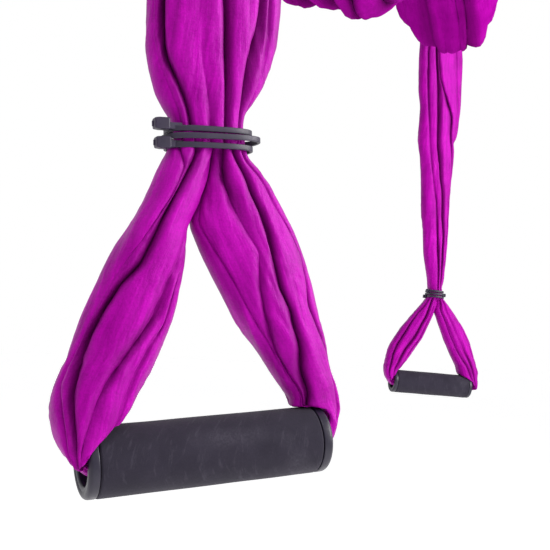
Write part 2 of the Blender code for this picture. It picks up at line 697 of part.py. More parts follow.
# ---------------------------------------------------------------- assembly
near_end, far_end = hammock()
carabiner("near", 0.0, 1)
carabiner("far", HANG_SPAN, -1)
hammock_end("near", 0.0, 1, *near_end)
hammock_end("far", HANG_SPAN, -1, *far_end)

NEAR_TURN = -50.55           # direction of each grip, seen from above
FAR_TURN = -61.65
near_foot = strap("near", 0.0, 1, NEAR_TURN, [
    # height above the grip axis, reach left and right, half thickness, share of the turn
    (1260, 12.5, 12.5, 9.8, 0.00), (1210, 18.0, 18.0, 10.5, 0.02), (1150, 24.0, 24.0, 11.0, 0.06),
    (1050, 29.0, 29.0, 11.5, 0.15), (920, 32.0, 32.0, 12.0, 0.30), (780, 34.0, 34.0, 12.0, 0.48),
    (640, 35.5, 35.5, 12.5, 0.66), (500, 37.0, 36.5, 13.0, 0.82), (380, 38.0, 37.2, 13.5, 0.94),
    (290, 39.2, 36.8, 14.0, 1.00), (240, 40.4, 35.2, 14.0, 1.00), (212, 39.2, 32.4, 13.8, 1.00),
    (198, 36.8, 27.0, 12.8, 1.00), (190, 34.6, 22.6, 11.6, 1.00), (184.0, 31.8, 19.6, 10.8, 1.00),
])
far_foot = strap("far", HANG_SPAN, -1, FAR_TURN, [
    (1260, 12.5, 12.5, 9.8, 0.00), (1210, 18.0, 18.0, 10.5, 0.02), (1150, 23.0, 23.0, 11.0, 0.06),
    (1050, 27.0, 27.0, 11.5, 0.15), (920, 30.5, 31.0, 12.0, 0.30), (780, 33.0, 36.0, 12.5, 0.48),
    (660, 36.0, 40.5, 13.0, 0.64), (545, 37.2, 43.8, 13.5, 0.80), (440, 33.6, 39.6, 13.5, 0.92),
    (345, 28.0, 29.0, 13.0, 1.00), (270, 25.0, 24.4, 12.0, 1.00), (205, 18.8, 21.4, 11.4, 1.00),
    (175, 12.8, 16.8, 12.0, 1.00), (161.0, 11.2, 14.4, 12.2, 1.00),
])
hand_loop(
    "near", near_foot, NEAR_TURN, 4.9, (1.5, 0.0), NEAR_LEFT, NEAR_RIGHT, (1.0, 0.9),
    {"top": (-2.2, 170.2, 22.2, 10.4, 6.0, 164.0),
     "middle": (-2.2, 165.3, 26.2, 11.4, 6.0, 250.0),
     "bottom": (-1.8, 160.3, 22.8, 10.4, 6.0, 166.0)},
)
hand_loop(
    "far", far_foot, FAR_TURN, -3.2, (-2.4, -3.1), FAR_LEFT, FAR_RIGHT, (1.0, 1.0),
    {"top": (1.4, 145.8, 11.2, 17.4, -5.0, 190.0),
     "middle": (1.4, 141.4, 11.6, 17.8, -5.0, 300.0),
     "bottom": (1.4, 137.0, 11.8, 17.6, -5.0, 196.0)},
)
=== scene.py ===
"""Looks of the aerial yoga hammock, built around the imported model. Metres, +Z up."""
import math

import bmesh
import bpy
import numpy as np
from mathutils import Matrix, Vector


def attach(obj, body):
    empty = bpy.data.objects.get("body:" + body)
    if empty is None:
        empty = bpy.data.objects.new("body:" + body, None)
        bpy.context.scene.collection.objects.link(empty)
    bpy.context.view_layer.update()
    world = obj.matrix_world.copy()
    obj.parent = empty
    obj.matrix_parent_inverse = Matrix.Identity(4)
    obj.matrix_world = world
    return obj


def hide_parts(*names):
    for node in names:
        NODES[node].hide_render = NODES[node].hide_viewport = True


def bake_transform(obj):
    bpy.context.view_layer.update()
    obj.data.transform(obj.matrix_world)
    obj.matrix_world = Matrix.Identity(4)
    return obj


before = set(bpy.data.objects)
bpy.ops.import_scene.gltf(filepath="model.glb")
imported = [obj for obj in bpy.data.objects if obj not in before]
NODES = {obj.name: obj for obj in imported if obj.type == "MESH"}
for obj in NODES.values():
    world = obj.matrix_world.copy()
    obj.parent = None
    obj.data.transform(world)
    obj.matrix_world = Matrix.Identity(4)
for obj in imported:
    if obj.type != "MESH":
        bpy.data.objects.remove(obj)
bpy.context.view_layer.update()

# ---------------------------------------------------------------- shared sizes
HANG_SPAN = 1.109
HANDLE_DROP = 1.400
LOOP_OFF = 0.0135
BODY_BOTTOM = -0.097
BODY_TOP = 0.005
ROD_R = 0.005
CROWN_HALF, BASKET_HALF = 0.020, 0.038
PIN_AT, NOSE_AT = 0.022, 0.076
GRIP_LONG, GRIP_R = 0.133, 0.018
CAP_THICK, CAP_BORE = 0.006, 0.0113
NEAR_X = -LOOP_OFF
FAR_X = HANG_SPAN + LOOP_OFF
NEAR_TURN, FAR_TURN = -50.55, -61.65
UP = np.array([0.0, 0.0, 1.0])


# ---------------------------------------------------------------- noise
def _hash(ix, iy, iz, seed):
    m = np.uint64(0xFFFFFFFF)
    n = (ix.astype(np.int64).astype(np.uint64) * np.uint64(374761393)
         + iy.astype(np.int64).astype(np.uint64) * np.uint64(668265263)
         + iz.astype(np.int64).astype(np.uint64) * np.uint64(2246822519)
         + np.uint64(seed * 3266489917 % 4294967291)) & m
    n = ((n ^ (n >> np.uint64(13))) * np.uint64(1274126177)) & m
    n = ((n ^ (n >> np.uint64(15))) * np.uint64(2654435761)) & m
    return n ^ (n >> np.uint64(16))


def noise(x, y, z=0.0, seed=1):
    """Gradient noise, about -1 to 1, smooth everywhere."""
    x, y, z = np.broadcast_arrays(np.asarray(x, float), np.asarray(y, float), np.asarray(z, float))
    x0, y0, z0 = np.floor(x), np.floor(y), np.floor(z)
    fx, fy, fz = x - x0, y - y0, z - z0
    out = np.zeros(x.shape)
    ux, uy, uz = (f * f * f * (f * (f * 6 - 15) + 10) for f in (fx, fy, fz))
    for dx in (0, 1):
        for dy in (0, 1):
            for dz in (0, 1):
                h = _hash(x0 + dx, y0 + dy, z0 + dz, seed).astype(float)
                a = h * (2 * math.pi / 4294967296.0)
                b = np.sin(h * 0.61803398875)
                r = np.sqrt(np.maximum(0.0, 1 - b * b))
                g = r * np.cos(a) * (fx - dx) + r * np.sin(a) * (fy - dy) + b * (fz - dz)
                w = (ux if dx else 1 - ux) * (uy if dy else 1 - uy) * (uz if dz else 1 - uz)
                out += w * g
    return out * 1.6


def ridged(x, y, z=0.0, seed=1):
    """Sharp crests between smooth hollows, about 0 to 1."""
    return 1.0 - np.abs(noise(x, y, z, seed)) * 1.8


def smoothstep(a, b, x):
    t = np.clip((np.asarray(x, float) - a) / (b - a), 0, 1)
    return t * t * (3 - 2 * t)


def catmull(table, rows):
    """A smooth curve through the rows of a table, read at that many even steps of its length."""
    t = np.array(table, float)
    d = np.concatenate([[0], np.cumsum(np.maximum(np.linalg.norm(np.diff(t[:, :4], axis=0), axis=1), 1e-6))])
    m = np.zeros_like(t)
    for i in range(len(t)):
        if i == 0:
            m[i] = (t[1] - t[0]) / (d[1] - d[0])
        elif i == len(t) - 1:
            m[i] = (t[-1] - t[-2]) / (d[-1] - d[-2])
        else:
            h0, h1 = d[i] - d[i - 1], d[i + 1] - d[i]
            m[i] = ((t[i] - t[i - 1]) / h0 * h1 + (t[i + 1] - t[i]) / h1 * h0) / (h0 + h1)
    s = np.linspace(0, d[-1], rows)
    k = np.clip(np.searchsorted(d, s, side="right") - 1, 0, len(t) - 2)
    h = (d[k + 1] - d[k])[:, None]
    u = ((s - d[k])[:, None]) / h
    return ((2 * u ** 3 - 3 * u ** 2 + 1) * t[k] + (u ** 3 - 2 * u ** 2 + u) * h * m[k]
            + (-2 * u ** 3 + 3 * u ** 2) * t[k + 1] + (u ** 3 - u ** 2) * h * m[k + 1])


def soften(v, times=2):
    v = np.array(v, float)
    for _ in range(times):
        v[1:-1] = 0.25 * v[:-2] + 0.5 * v[1:-1] + 0.25 * v[2:]
    return v


# ---------------------------------------------------------------- meshes
def put(name, verts, faces, mat, smooth=True, uv=None, attr=None):
    mesh = bpy.data.meshes.new(name)
    mesh.from_pydata([tuple(p) for p in verts], [], [tuple(f) for f in faces])
    mesh.update()
    if uv is not None:
        layer = mesh.uv_layers.new(name="UVMap")
        idx = np.zeros(len(mesh.loops), np.int32)
        mesh.loops.foreach_get("vertex_index", idx)
        layer.data.foreach_set("uv", np.asarray(uv, np.float32)[idx].ravel())
    for key, values in (attr or {}).items():
        a = mesh.attributes.new(key, "FLOAT", "POINT")
        a.data.foreach_set("value", np.asarray(values, np.float32))
    mesh.materials.append(mat)
    if smooth:
        mesh.shade_smooth()
    obj = bpy.data.objects.new(name, mesh)
    bpy.context.scene.collection.objects.link(obj)
    return obj


def grid_faces(rows, cols, wrap=False):
    r, c = np.meshgrid(np.arange(rows - 1), np.arange(cols if wrap else cols - 1), indexing="ij")
    r, c = r.ravel(), c.ravel()
    d = (c + 1) % cols
    return np.stack([r * cols + c, r * cols + d, (r + 1) * cols + d, (r + 1) * cols + c], axis=1)


def from_bm(name, bm, mat, angle=None):
    bmesh.ops.recalc_face_normals(bm, faces=bm.faces[:])
    mesh = bpy.data.meshes.new(name)
    bm.to_mesh(mesh)
    bm.free()
    mesh.materials.append(mat)
    if angle is not None:
        mesh.shade_smooth()
        mesh.set_sharp_from_angle(angle=math.radians(angle))
    obj = bpy.data.objects.new(name, mesh)
    bpy.context.scene.collection.objects.link(obj)
    return obj


def bevel(obj, width, segments=2, angle=35):
    mod = obj.modifiers.new("edge", "BEVEL")
    mod.width = width
    mod.segments = segments
    mod.limit_method = "ANGLE"
    mod.angle_limit = math.radians(angle)
    return mod


def solidify(obj, thick):
    mod = obj.modifiers.new("cloth", "SOLIDIFY")
    mod.thickness = thick
    mod.offset = 0.0
    return mod


# ---------------------------------------------------------------- materials
class Mat:
    """A Principled material with small helpers to wire its nodes."""

    def __init__(self, name):
        self.mat = bpy.data.materials.new(name)
        self.mat.use_nodes = True
        self.nt = self.mat.node_tree
        self.bsdf = self.nt.nodes["Principled BSDF"]
        self.out = self.nt.nodes["Material Output"]

    def node(self, kind, **values):
        n = self.nt.nodes.new(kind)
        for k, v in values.items():
            if hasattr(n, k) and k not in n.inputs:
                setattr(n, k, v)
            else:
                n.inputs[k].default_value = v
        return n

    def link(self, a, b):
        self.nt.links.new(a, b)

    def math(self, op, a, b=None, clamp=False):
        n = self.nt.nodes.new("ShaderNodeMath")
        n.operation = op
        n.use_clamp = clamp
        for i, v in enumerate((a, b)):
            if v is None:
                continue
            if isinstance(v, (int, float)):
                n.inputs[i].default_value = v
            else:
                self.link(v, n.inputs[i])
        return n.outputs[0]

    def mix(self, fac, a, b, blend="MIX"):
        n = self.nt.nodes.new("ShaderNodeMix")
        n.data_type = "RGBA"
        n.blend_type = blend
        for i, v in ((0, fac), (6, a), (7, b)):
            if isinstance(v, (int, float)):
                n.inputs[i].default_value = v
            elif isinstance(v, tuple):
                n.inputs[i].default_value = (*v, 1.0) if len(v) == 3 else v
            else:
                self.link(v, n.inputs[i])
        return n.outputs[2]

    def ramp(self, value, stops):
        n = self.nt.nodes.new("ShaderNodeValToRGB")
        while len(n.color_ramp.elements) < len(stops):
            n.color_ramp.elements.new(0.5)
        for e, (p, c) in zip(n.color_ramp.elements, stops):
            e.position = p
            e.color = (*c, 1.0) if isinstance(c, tuple) else (c, c, c, 1.0)
        self.link(value, n.inputs[0])
        return n.outputs[0]

    def coords(self, kind="Object", scale=(1, 1, 1)):
        c = self.node("ShaderNodeTexCoord")
        m = self.node("ShaderNodeMapping")
        m.inputs["Scale"].default_value = scale
        self.link(c.outputs[kind], m.inputs["Vector"])
        return m.outputs[0]

    def noise(self, vector, scale, detail=3.0, rough=0.5):
        n = self.node("ShaderNodeTexNoise")
        n.inputs["Scale"].default_value = scale
        n.inputs["Detail"].default_value = detail
        n.inputs["Roughness"].default_value = rough
        self.link(vector, n.inputs["Vector"])
        return n.outputs["Fac"]

    def bump(self, height, strength, distance, normal=None):
        n = self.node("ShaderNodeBump")
        n.inputs["Strength"].default_value = strength
        n.inputs["Distance"].default_value = distance
        self.link(height, n.inputs["Height"])
        if normal is not None:
            self.link(normal, n.inputs["Normal"])
        return n.outputs[0]


def nylon_material(name, deep, mid, bright, gloss, sheen, drawn_by):
    """Fine plain-weave parachute nylon: satin, a little see-through, with shade painted darker into its folds."""
    m = Mat(name)
    uv = m.coords("UV")
    sep = m.node("ShaderNodeSeparateXYZ")
    m.link(uv, sep.inputs[0])
    # plain weave, one thread every 0.42 mm
    pitch = 2 * math.pi / 0.00042
    warp = m.math("SINE", m.math("MULTIPLY", sep.outputs[0], pitch))
    weft = m.math("SINE", m.math("MULTIPLY", sep.outputs[1], pitch))
    weave = m.math("MULTIPLY", warp, weft)
    # slubs: threads that are a touch thicker, along and across
    stretch = m.node("ShaderNodeMapping")
    stretch.inputs["Scale"].default_value = (1400.0, 60.0, 1.0)
    m.link(uv, stretch.inputs["Vector"])
    slub_a = m.noise(stretch.outputs[0], 1.0, 2.0)
    cross = m.node("ShaderNodeMapping")
    cross.inputs["Scale"].default_value = (60.0, 1400.0, 1.0)
    m.link(uv, cross.inputs["Vector"])
    slub_b = m.noise(cross.outputs[0], 1.0, 2.0)
    slub = m.math("ADD", slub_a, slub_b)
    crumple = m.noise(m.coords("Object"), 210.0, 4.0, 0.62)
    # colour: body tone, with painted shade deeper in the folds and none on the crests, mottled by handling
    fold = m.node("ShaderNodeAttribute", attribute_name="fold", attribute_type="GEOMETRY").outputs["Fac"]
    tone = m.noise(m.coords("Object"), 38.0, 3.0, 0.55)
    fine = m.noise(m.coords("Object"), 900.0, 2.0, 0.6)
    streak_map = m.node("ShaderNodeMapping")
    streak_map.inputs["Scale"].default_value = (260.0, 16.0, 1.0)
    m.link(uv, streak_map.inputs["Vector"])
    streak = m.noise(streak_map.outputs[0], 1.0, 4.0, 0.6)
    base = m.ramp(tone, [(0.30, mid), (0.72, bright)])
    # painted shade: the fold attribute mixes the colour towards the deep colour in and beside the folds
    base = m.mix(m.ramp(fold, [(0.12, 0.0), (1.0, 0.88)]), base, deep)
    speck = m.ramp(fine, [(0.25, 0.82), (0.75, 1.10)])
    base = m.mix(1.0, base, speck, "MULTIPLY")
    drawn = m.ramp(streak, [(0.30, 1 - 0.26 * drawn_by), (0.70, 1 + 0.14 * drawn_by)])
    base = m.mix(1.0, base, drawn, "MULTIPLY")
    thread = m.ramp(m.math("MULTIPLY", slub, 0.5), [(0.35, 0.90), (0.65, 1.06)])
    base = m.mix(1.0, base, thread, "MULTIPLY")
    m.link(base, m.bsdf.inputs["Base Color"])
    rough = m.math("ADD", m.math("MULTIPLY", tone, 0.14), 0.40)
    m.link(rough, m.bsdf.inputs["Roughness"])
    m.bsdf.inputs["Specular IOR Level"].default_value = gloss
    m.bsdf.inputs["Specular Tint"].default_value = (1.0, 0.06, 0.95, 1.0)
    m.bsdf.inputs["Sheen Weight"].default_value = sheen
    m.bsdf.inputs["Sheen Roughness"].default_value = 0.42
    m.bsdf.inputs["Sheen Tint"].default_value = (1.0, 0.12, 1.0, 1.0)
    n0 = m.bump(streak, 0.55 * drawn_by, 0.0010)
    n1 = m.bump(crumple, 0.60, 0.0008, n0)
    n2 = m.bump(slub, 0.35, 0.00006, n1)
    n3 = m.bump(weave, 0.35, 0.00003, n2)
    m.link(n3, m.bsdf.inputs["Normal"])
    # light that comes through a single layer
    thin = m.node("ShaderNodeBsdfTranslucent")
    m.link(base, thin.inputs["Color"])
    m.link(n1, thin.inputs["Normal"])
    both = m.node("ShaderNodeMixShader")
    both.inputs[0].default_value = 0.20
    m.link(m.bsdf.outputs[0], both.inputs[1])
    m.link(thin.outputs[0], both.inputs[2])
    m.link(both.outputs[0], m.out.inputs["Surface"])
    return m.mat


def foam_material():
    """Dense closed-cell foam: matte charcoal with a violet cast, fine pores, pale scuffs."""
    m = Mat("grip_foam")
    o = m.coords("Object")
    cells = m.node("ShaderNodeTexVoronoi")
    cells.inputs["Scale"].default_value = 1500.0
    m.link(o, cells.inputs["Vector"])
    pores = m.noise(o, 700.0, 4.0, 0.65)
    cloud = m.noise(o, 60.0, 4.0, 0.6)
    scuff_map = m.node("ShaderNodeMapping")
    scuff_map.inputs["Rotation"].default_value = (0.5, 0.3, 0.9)
    scuff_map.inputs["Scale"].default_value = (45.0, 420.0, 90.0)
    c = m.node("ShaderNodeTexCoord")
    m.link(c.outputs["Object"], scuff_map.inputs["Vector"])
    scuff = m.noise(scuff_map.outputs[0], 1.0, 5.0, 0.7)
    base = m.ramp(cloud, [(0.3, (0.0130, 0.0105, 0.0195)), (0.7, (0.0190, 0.0155, 0.0270))])
    base = m.mix(m.ramp(scuff, [(0.55, 0.0), (0.72, 0.45)]), base, (0.050, 0.044, 0.062))
    patch = m.noise(o, 26.0, 2.0)
    base = m.mix(m.math("MULTIPLY", m.ramp(patch, [(0.60, 0.0), (0.74, 0.5)]), m.ramp(pores, [(0.4, 0.2), (0.7, 1.0)])),
                 base, (0.062, 0.056, 0.074))
    dots = m.ramp(cells.outputs["Distance"], [(0.0, 0.72), (0.35, 1.05)])
    base = m.mix(1.0, base, dots, "MULTIPLY")
    m.link(base, m.bsdf.inputs["Base Color"])
    m.link(m.math("ADD", m.math("MULTIPLY", pores, 0.2), 0.72), m.bsdf.inputs["Roughness"])
    m.bsdf.inputs["Specular IOR Level"].default_value = 0.14
    m.bsdf.inputs["Sheen Weight"].default_value = 0.04
    m.bsdf.inputs["Sheen Roughness"].default_value = 0.6
    n1 = m.bump(cells.outputs["Distance"], 0.30, 0.00012)
    n2 = m.bump(pores, 0.40, 0.00030, n1)
    n3 = m.bump(scuff, 0.15, 0.00020, n2)
    m.link(n3, m.bsdf.inputs["Normal"])
    return m.mat


def plastic_material(name, low, high, rough, grain, coat=0.0):
    """Moulded plastic with a faint grain, handling haze and scratches."""
    m = Mat(name)
    o = m.coords("Object")
    cloud = m.noise(o, 90.0, 4.0, 0.6)
    fine = m.noise(o, grain, 3.0, 0.6)
    streak_map = m.node("ShaderNodeMapping")
    streak_map.inputs["Rotation"].default_value = (0.9, 0.2, 0.4)
    streak_map.inputs["Scale"].default_value = (80.0, 1600.0, 200.0)
    c = m.node("ShaderNodeTexCoord")
    m.link(c.outputs["Object"], streak_map.inputs["Vector"])
    scratch = m.noise(streak_map.outputs[0], 1.0, 3.0, 0.6)
    base = m.ramp(cloud, [(0.3, low), (0.7, high)])
    base = m.mix(m.ramp(scratch, [(0.66, 0.0), (0.74, 0.30)]), base, tuple(min(1.0, 2.6 * x) for x in high))
    geo = m.node("ShaderNodeNewGeometry")
    worn = m.ramp(geo.outputs["Pointiness"], [(0.53, 0.0), (0.62, 0.45)])
    base = m.mix(worn, base, tuple(min(1.0, 2.2 * x) for x in high))
    m.link(base, m.bsdf.inputs["Base Color"])
    r = m.math("ADD", m.math("MULTIPLY", fine, 0.16), rough)
    r = m.math("ADD", r, m.math("MULTIPLY", m.ramp(scratch, [(0.6, 0.0), (0.72, 1.0)]), 0.12))
    m.link(r, m.bsdf.inputs["Roughness"])
    m.bsdf.inputs["Specular IOR Level"].default_value = 0.36
    if coat:
        m.bsdf.inputs["Coat Weight"].default_value = coat
        m.bsdf.inputs["Coat Roughness"].default_value = 0.25
    n1 = m.bump(fine, 0.22, 0.00008)
    n2 = m.bump(scratch, 0.12, 0.00006, n1)
    m.link(n2, m.bsdf.inputs["Normal"])
    return m.mat


def metal_material(name, colour, rough, brushed=(1, 1, 1), knurl=False):
    """Zinc-plated steel with fine draw marks, dull spots and rubbed edges."""
    m = Mat(name)
    c = m.node("ShaderNodeTexCoord")
    mp = m.node("ShaderNodeMapping")
    mp.inputs["Scale"].default_value = brushed
    m.link(c.outputs["Object"], mp.inputs["Vector"])
    draw = m.noise(mp.outputs[0], 60.0, 5.0, 0.7)
    o = m.coords("Object")
    spots = m.noise(o, 120.0, 4.0, 0.6)
    pits = m.noise(o, 900.0, 2.0, 0.6)
    dull = m.ramp(spots, [(0.42, 0.0), (0.66, 1.0)])
    base = m.mix(dull, colour, tuple(0.72 * x for x in colour))
    geo = m.node("ShaderNodeNewGeometry")
    edge = m.ramp(geo.outputs["Pointiness"], [(0.52, 0.0), (0.60, 0.7)])
    base = m.mix(edge, base, (0.62, 0.62, 0.64))
    m.link(base, m.bsdf.inputs["Base Color"])
    m.bsdf.inputs["Metallic"].default_value = 1.0
    r = m.math("ADD", m.math("MULTIPLY", draw, 0.18), rough)
    r = m.math("ADD", r, m.math("MULTIPLY", dull, 0.12))
    m.link(r, m.bsdf.inputs["Roughness"])
    n1 = m.bump(draw, 0.10, 0.00005)
    n2 = m.bump(pits, 0.12, 0.00004, n1)
    m.link(n2, m.bsdf.inputs["Normal"])
    return m.mat


def webbing_material():
    """Woven black webbing: herringbone ribs, with a little dust in them."""
    m = Mat("webbing")
    uv = m.coords("UV")
    sep = m.node("ShaderNodeSeparateXYZ")
    m.link(uv, sep.inputs[0])
    across, along = sep.outputs[0], sep.outputs[1]
    zig = m.math("PINGPONG", across, 0.0025)
    v = m.math("ADD", along, m.math("MULTIPLY", zig, 0.9))
    rib = m.math("SINE", m.math("MULTIPLY", v, 2 * math.pi / 0.0011))
    thread = m.math("SINE", m.math("MULTIPLY", across, 2 * math.pi / 0.0008))
    both = m.math("ADD", rib, m.math("MULTIPLY", thread, 0.5))
    dust = m.noise(m.coords("Object"), 130.0, 4.0, 0.6)
    tone = m.ramp(m.math("MULTIPLY", m.math("ADD", both, 1.5), 0.33), [(0.1, (0.006, 0.006, 0.007)), (0.9, (0.026, 0.025, 0.029))])
    base = m.mix(m.ramp(dust, [(0.5, 0.0), (0.8, 0.35)]), tone, (0.045, 0.043, 0.046))
    m.link(base, m.bsdf.inputs["Base Color"])
    m.link(m.math("ADD", m.math("MULTIPLY", dust, 0.15), 0.68), m.bsdf.inputs["Roughness"])
    m.bsdf.inputs["Sheen Weight"].default_value = 0.10
    m.bsdf.inputs["Specular IOR Level"].default_value = 0.25
    m.link(m.bump(both, 0.6, 0.00025), m.bsdf.inputs["Normal"])
    return m.mat


def thread_material(name, colour):
    m = Mat(name)
    o = m.coords("Object")
    twist = m.noise(o, 1800.0, 2.0)
    base = m.ramp(twist, [(0.3, tuple(0.6 * x for x in colour)), (0.7, colour)])
    m.link(base, m.bsdf.inputs["Base Color"])
    m.link(m.math("ADD", m.math("MULTIPLY", twist, 0.2), 0.45), m.bsdf.inputs["Roughness"])
    m.link(m.bump(twist, 0.5, 0.0001), m.bsdf.inputs["Normal"])
    return m.mat


# first colour: painted shade for the folds; then the body tone and its lighter mottle
NYLON = nylon_material("nylon_magenta", (0.130, 0.0014, 0.104), (0.300, 0.0006, 0.252), (0.455, 0.0034, 0.385), 0.52, 0.03, 1.0)
# the sling's nylon: the same cloth with darker colours, painted shade for its underside; its first colour is painted
# shade for the folds
NYLON_SLING_SHADED = nylon_material("nylon_magenta_sling", (0.085, 0.0012, 0.068), (0.270, 0.0012, 0.228), (0.355, 0.0030, 0.300), 0.0, 0.05, 0.4)
FOAM = foam_material()
CAP = plastic_material("cap_plastic", (0.0085, 0.0064, 0.0165), (0.0140, 0.0106, 0.0245), 0.30, 1400.0, 0.0)
TIE = plastic_material("tie_nylon", (0.0140, 0.0090, 0.0240), (0.024, 0.0168, 0.0385), 0.36, 900.0)
CORE = plastic_material("core_plastic", (0.46, 0.46, 0.43), (0.56, 0.56, 0.53), 0.42, 900.0)
STEEL = metal_material("zinc_steel", (0.40, 0.41, 0.43), 0.24, (1, 1, 14))
SLEEVE = metal_material("sleeve_steel", (0.33, 0.34, 0.36), 0.28, (14, 14, 1))
WEB = webbing_material()
THREAD = thread_material("web_thread", (0.16, 0.155, 0.165))


# ---------------------------------------------------------------- gathered cloth
class Sweep:
    """A gathered cloth: a ring of pleats swept along rows. Everything is in metres.

    Each row has a centre, a direction to its right side, a direction to its front, a half
    width and half depths. The ring angle is 0 at the front, -90 degrees at the left edge,
    90 at the right edge, and the cloth's own two edges meet at the back."""

    # dark: the fold depth at which the painted shade beside a fold is full
    def __init__(self, centre, right, front, half, deep_front, deep_back, power, dark=0.0060):
        self.C, self.W, self.N = (np.asarray(v, float) for v in (centre, right, front))
        self.a, self.bf, self.bb = (np.asarray(v, float) for v in (half, deep_front, deep_back))
        self.R = len(self.C)
        self.p = np.broadcast_to(np.asarray(power, float), (self.R,))
        self.V = np.concatenate([[0], np.cumsum(np.linalg.norm(np.diff(self.C, axis=0), axis=1))])
        self.folds = []
        self.dark = dark

    def angle_of(self, f):
        """Ring angle of a place on the front, given from -1 at the left edge to 1 at the right."""
        f = np.clip(f, -0.985, 0.985)
        return np.arcsin(np.sign(f) * np.abs(f) ** (self.p / 2))

    def fold(self, angle, depth, left, right, lap=0.0, bulge=0.0, soft=0.5):
        full = lambda v: np.broadcast_to(np.asarray(v, float), (self.R,)).copy()
        self.folds.append([full(v) for v in (angle, depth, left, right, lap, bulge, soft)])

    def build(self, columns=14, tail=0.010, groove=None):
        R = self.R
        tail = np.broadcast_to(np.asarray(tail, float), (R,))[:, None]
        self.folds.sort(key=lambda f: float(np.mean(f[0])))
        edges = [np.full(R, -math.pi)] + [f[0] for f in self.folds] + [np.full(R, math.pi)]
        for i in range(1, len(edges)):        # folds never cross
            edges[i] = np.maximum(edges[i], edges[i - 1] + 0.05)
        edges[-1] = np.full(R, math.pi)
        for i in range(len(edges) - 2, -1, -1):
            edges[i] = np.minimum(edges[i], edges[i + 1] - 0.04)
        edges[0] = np.full(R, -math.pi)
        phi, owner = [], []
        lobes = len(edges) - 1
        for k in range(lobes):
            span = edges[k + 1] - edges[k]
            count = columns
            t = np.arange(count + (1 if k == lobes - 1 else 0)) / count
            t = 0.45 * t + 0.55 * (0.5 - 0.5 * np.cos(math.pi * t))
            phi.append(edges[k][:, None] + span[:, None] * t[None, :])
            owner += [k] * len(t)
        phi = np.concatenate(phi, axis=1)
        owner = np.array(owner)
        K = phi.shape[1]
        s, c = np.sin(phi), np.cos(phi)
        p = self.p[:, None]
        b = np.where(c > 0, self.bf[:, None], self.bb[:, None])
        X = self.a[:, None] * np.sign(s) * np.abs(s) ** (2 / p)
        Y = b * np.sign(c) * np.abs(c) ** (2 / p)
        a_ = np.broadcast_to(self.a[:, None], X.shape)
        nx = np.sign(X) * np.abs(X / a_) ** (p - 1) / a_
        ny = np.sign(Y) * np.abs(Y / b) ** (p - 1) / b
        ln = np.maximum(np.hypot(nx, ny), 1e-9)
        nx, ny = nx / ln, ny / ln
        tx, ty = ny, -nx
        S = np.concatenate([np.zeros((R, 1)), np.cumsum(np.hypot(np.diff(X, axis=1), np.diff(Y, axis=1)), axis=1)], axis=1)
        first = [int(np.argmax(owner == k)) for k in range(lobes)]
        last = [(first[k + 1] if k + 1 < lobes else K - 1) for k in range(lobes)]
        inward = np.zeros((R, K))
        # shade: painted shade beside each fold, 0 to 1, carried to the colour in the fold attribute
        shade = np.zeros((R, K))
        slide = np.zeros((R, K))
        bulge = np.zeros((R, K))

        def profile(x, soft):
            x = np.clip(x, 0, 1)
            round_ = 1 - np.sqrt(np.maximum(0.0, 1 - (1 - x) ** 2))
            gentle = (1 - x) ** 2 * (1 + 2 * x)
            return (1 - soft) * round_ + soft * gentle

        for k in range(lobes):
            cols = slice(first[k], last[k] + 1)
            dl = S[:, cols] - S[:, first[k]][:, None]
            dr = S[:, last[k]][:, None] - S[:, cols]
            width = np.maximum((dl + dr), 1e-6)
            if k > 0:
                _, depth, _, wr, lap, bul, soft = (v[:, None] for v in self.folds[k - 1])
                w = np.minimum(wr, 0.92 * width)
                reach = 1.25 * w + np.maximum(-lap, 0)
                shade[:, cols] = np.maximum(shade[:, cols], np.clip(depth / self.dark, 0, 1) * (1 - smoothstep(0.15, 1.0, dl / reach)))
                inward[:, cols] = np.maximum(inward[:, cols], depth * profile(dl / np.maximum(w, 1e-6), soft))
                x = dl / np.maximum(0.5 * w, 1e-6)
                slide[:, cols] -= np.maximum(lap, 0) * x * np.exp(1 - x)
                bulge[:, cols] += bul * np.sin(math.pi * np.clip(dl / width, 0, 1))
            if k < lobes - 1:
                _, depth, wl, _, lap, _, soft = (v[:, None] for v in self.folds[k])
                w = np.minimum(wl, 0.92 * width)
                reach = 1.25 * w + np.maximum(lap, 0)
                shade[:, cols] = np.maximum(shade[:, cols], np.clip(depth / self.dark, 0, 1) * (1 - smoothstep(0.15, 1.0, dr / reach)))
                add = depth * profile(dr / np.maximum(w, 1e-6), soft)
                inward[:, cols] = np.hypot(inward[:, cols], add) if k > 0 else np.maximum(inward[:, cols], add)
                x = dr / np.maximum(0.5 * w, 1e-6)
                slide[:, cols] += np.maximum(-lap, 0) * x * np.exp(1 - x)
        # the cloth's own edges tuck in at the back
        d_start, d_end = S, S[:, -1:] - S
        tuck = tail * (np.exp(-(d_start / (0.6 * tail)) ** 1.5) + np.exp(-(d_end / (0.6 * tail)) ** 1.5))
        inward = inward + tuck
        if groove is not None:        # the back is hollow, like a trough
            across, along = X / a_, Y / b
            fall = np.maximum(0.0, 1 - (across / 0.72) ** 2) ** 1.2
            Y = Y + np.asarray(groove)[:, None] * fall * np.clip(-along * 2.2, 0, 1)
        self.X = X - nx * (inward - bulge) + tx * slide
        self.Y = Y - ny * (inward - bulge) + ty * slide
        self.inward, self.shade, self.S, self.phi, self.K = inward, shade, S, phi, K
        self.P = self.place(self.X, self.Y)
        return self

    def place(self, X, Y):
        return self.C[:, None, :] + self.W[:, None, :] * X[..., None] + self.N[:, None, :] * Y[..., None]

    def normals(self):
        """Unit normals that point out of the ring."""
        du = np.gradient(self.P, axis=1)
        dv = np.gradient(self.P, axis=0)
        n = np.cross(du, dv)
        n /= np.maximum(np.linalg.norm(n, axis=2, keepdims=True), 1e-12)
        mid = self.P.mean(axis=1, keepdims=True)
        if np.mean(np.sum(n * (self.P - mid), axis=2)) < 0:
            n = -n
        return n

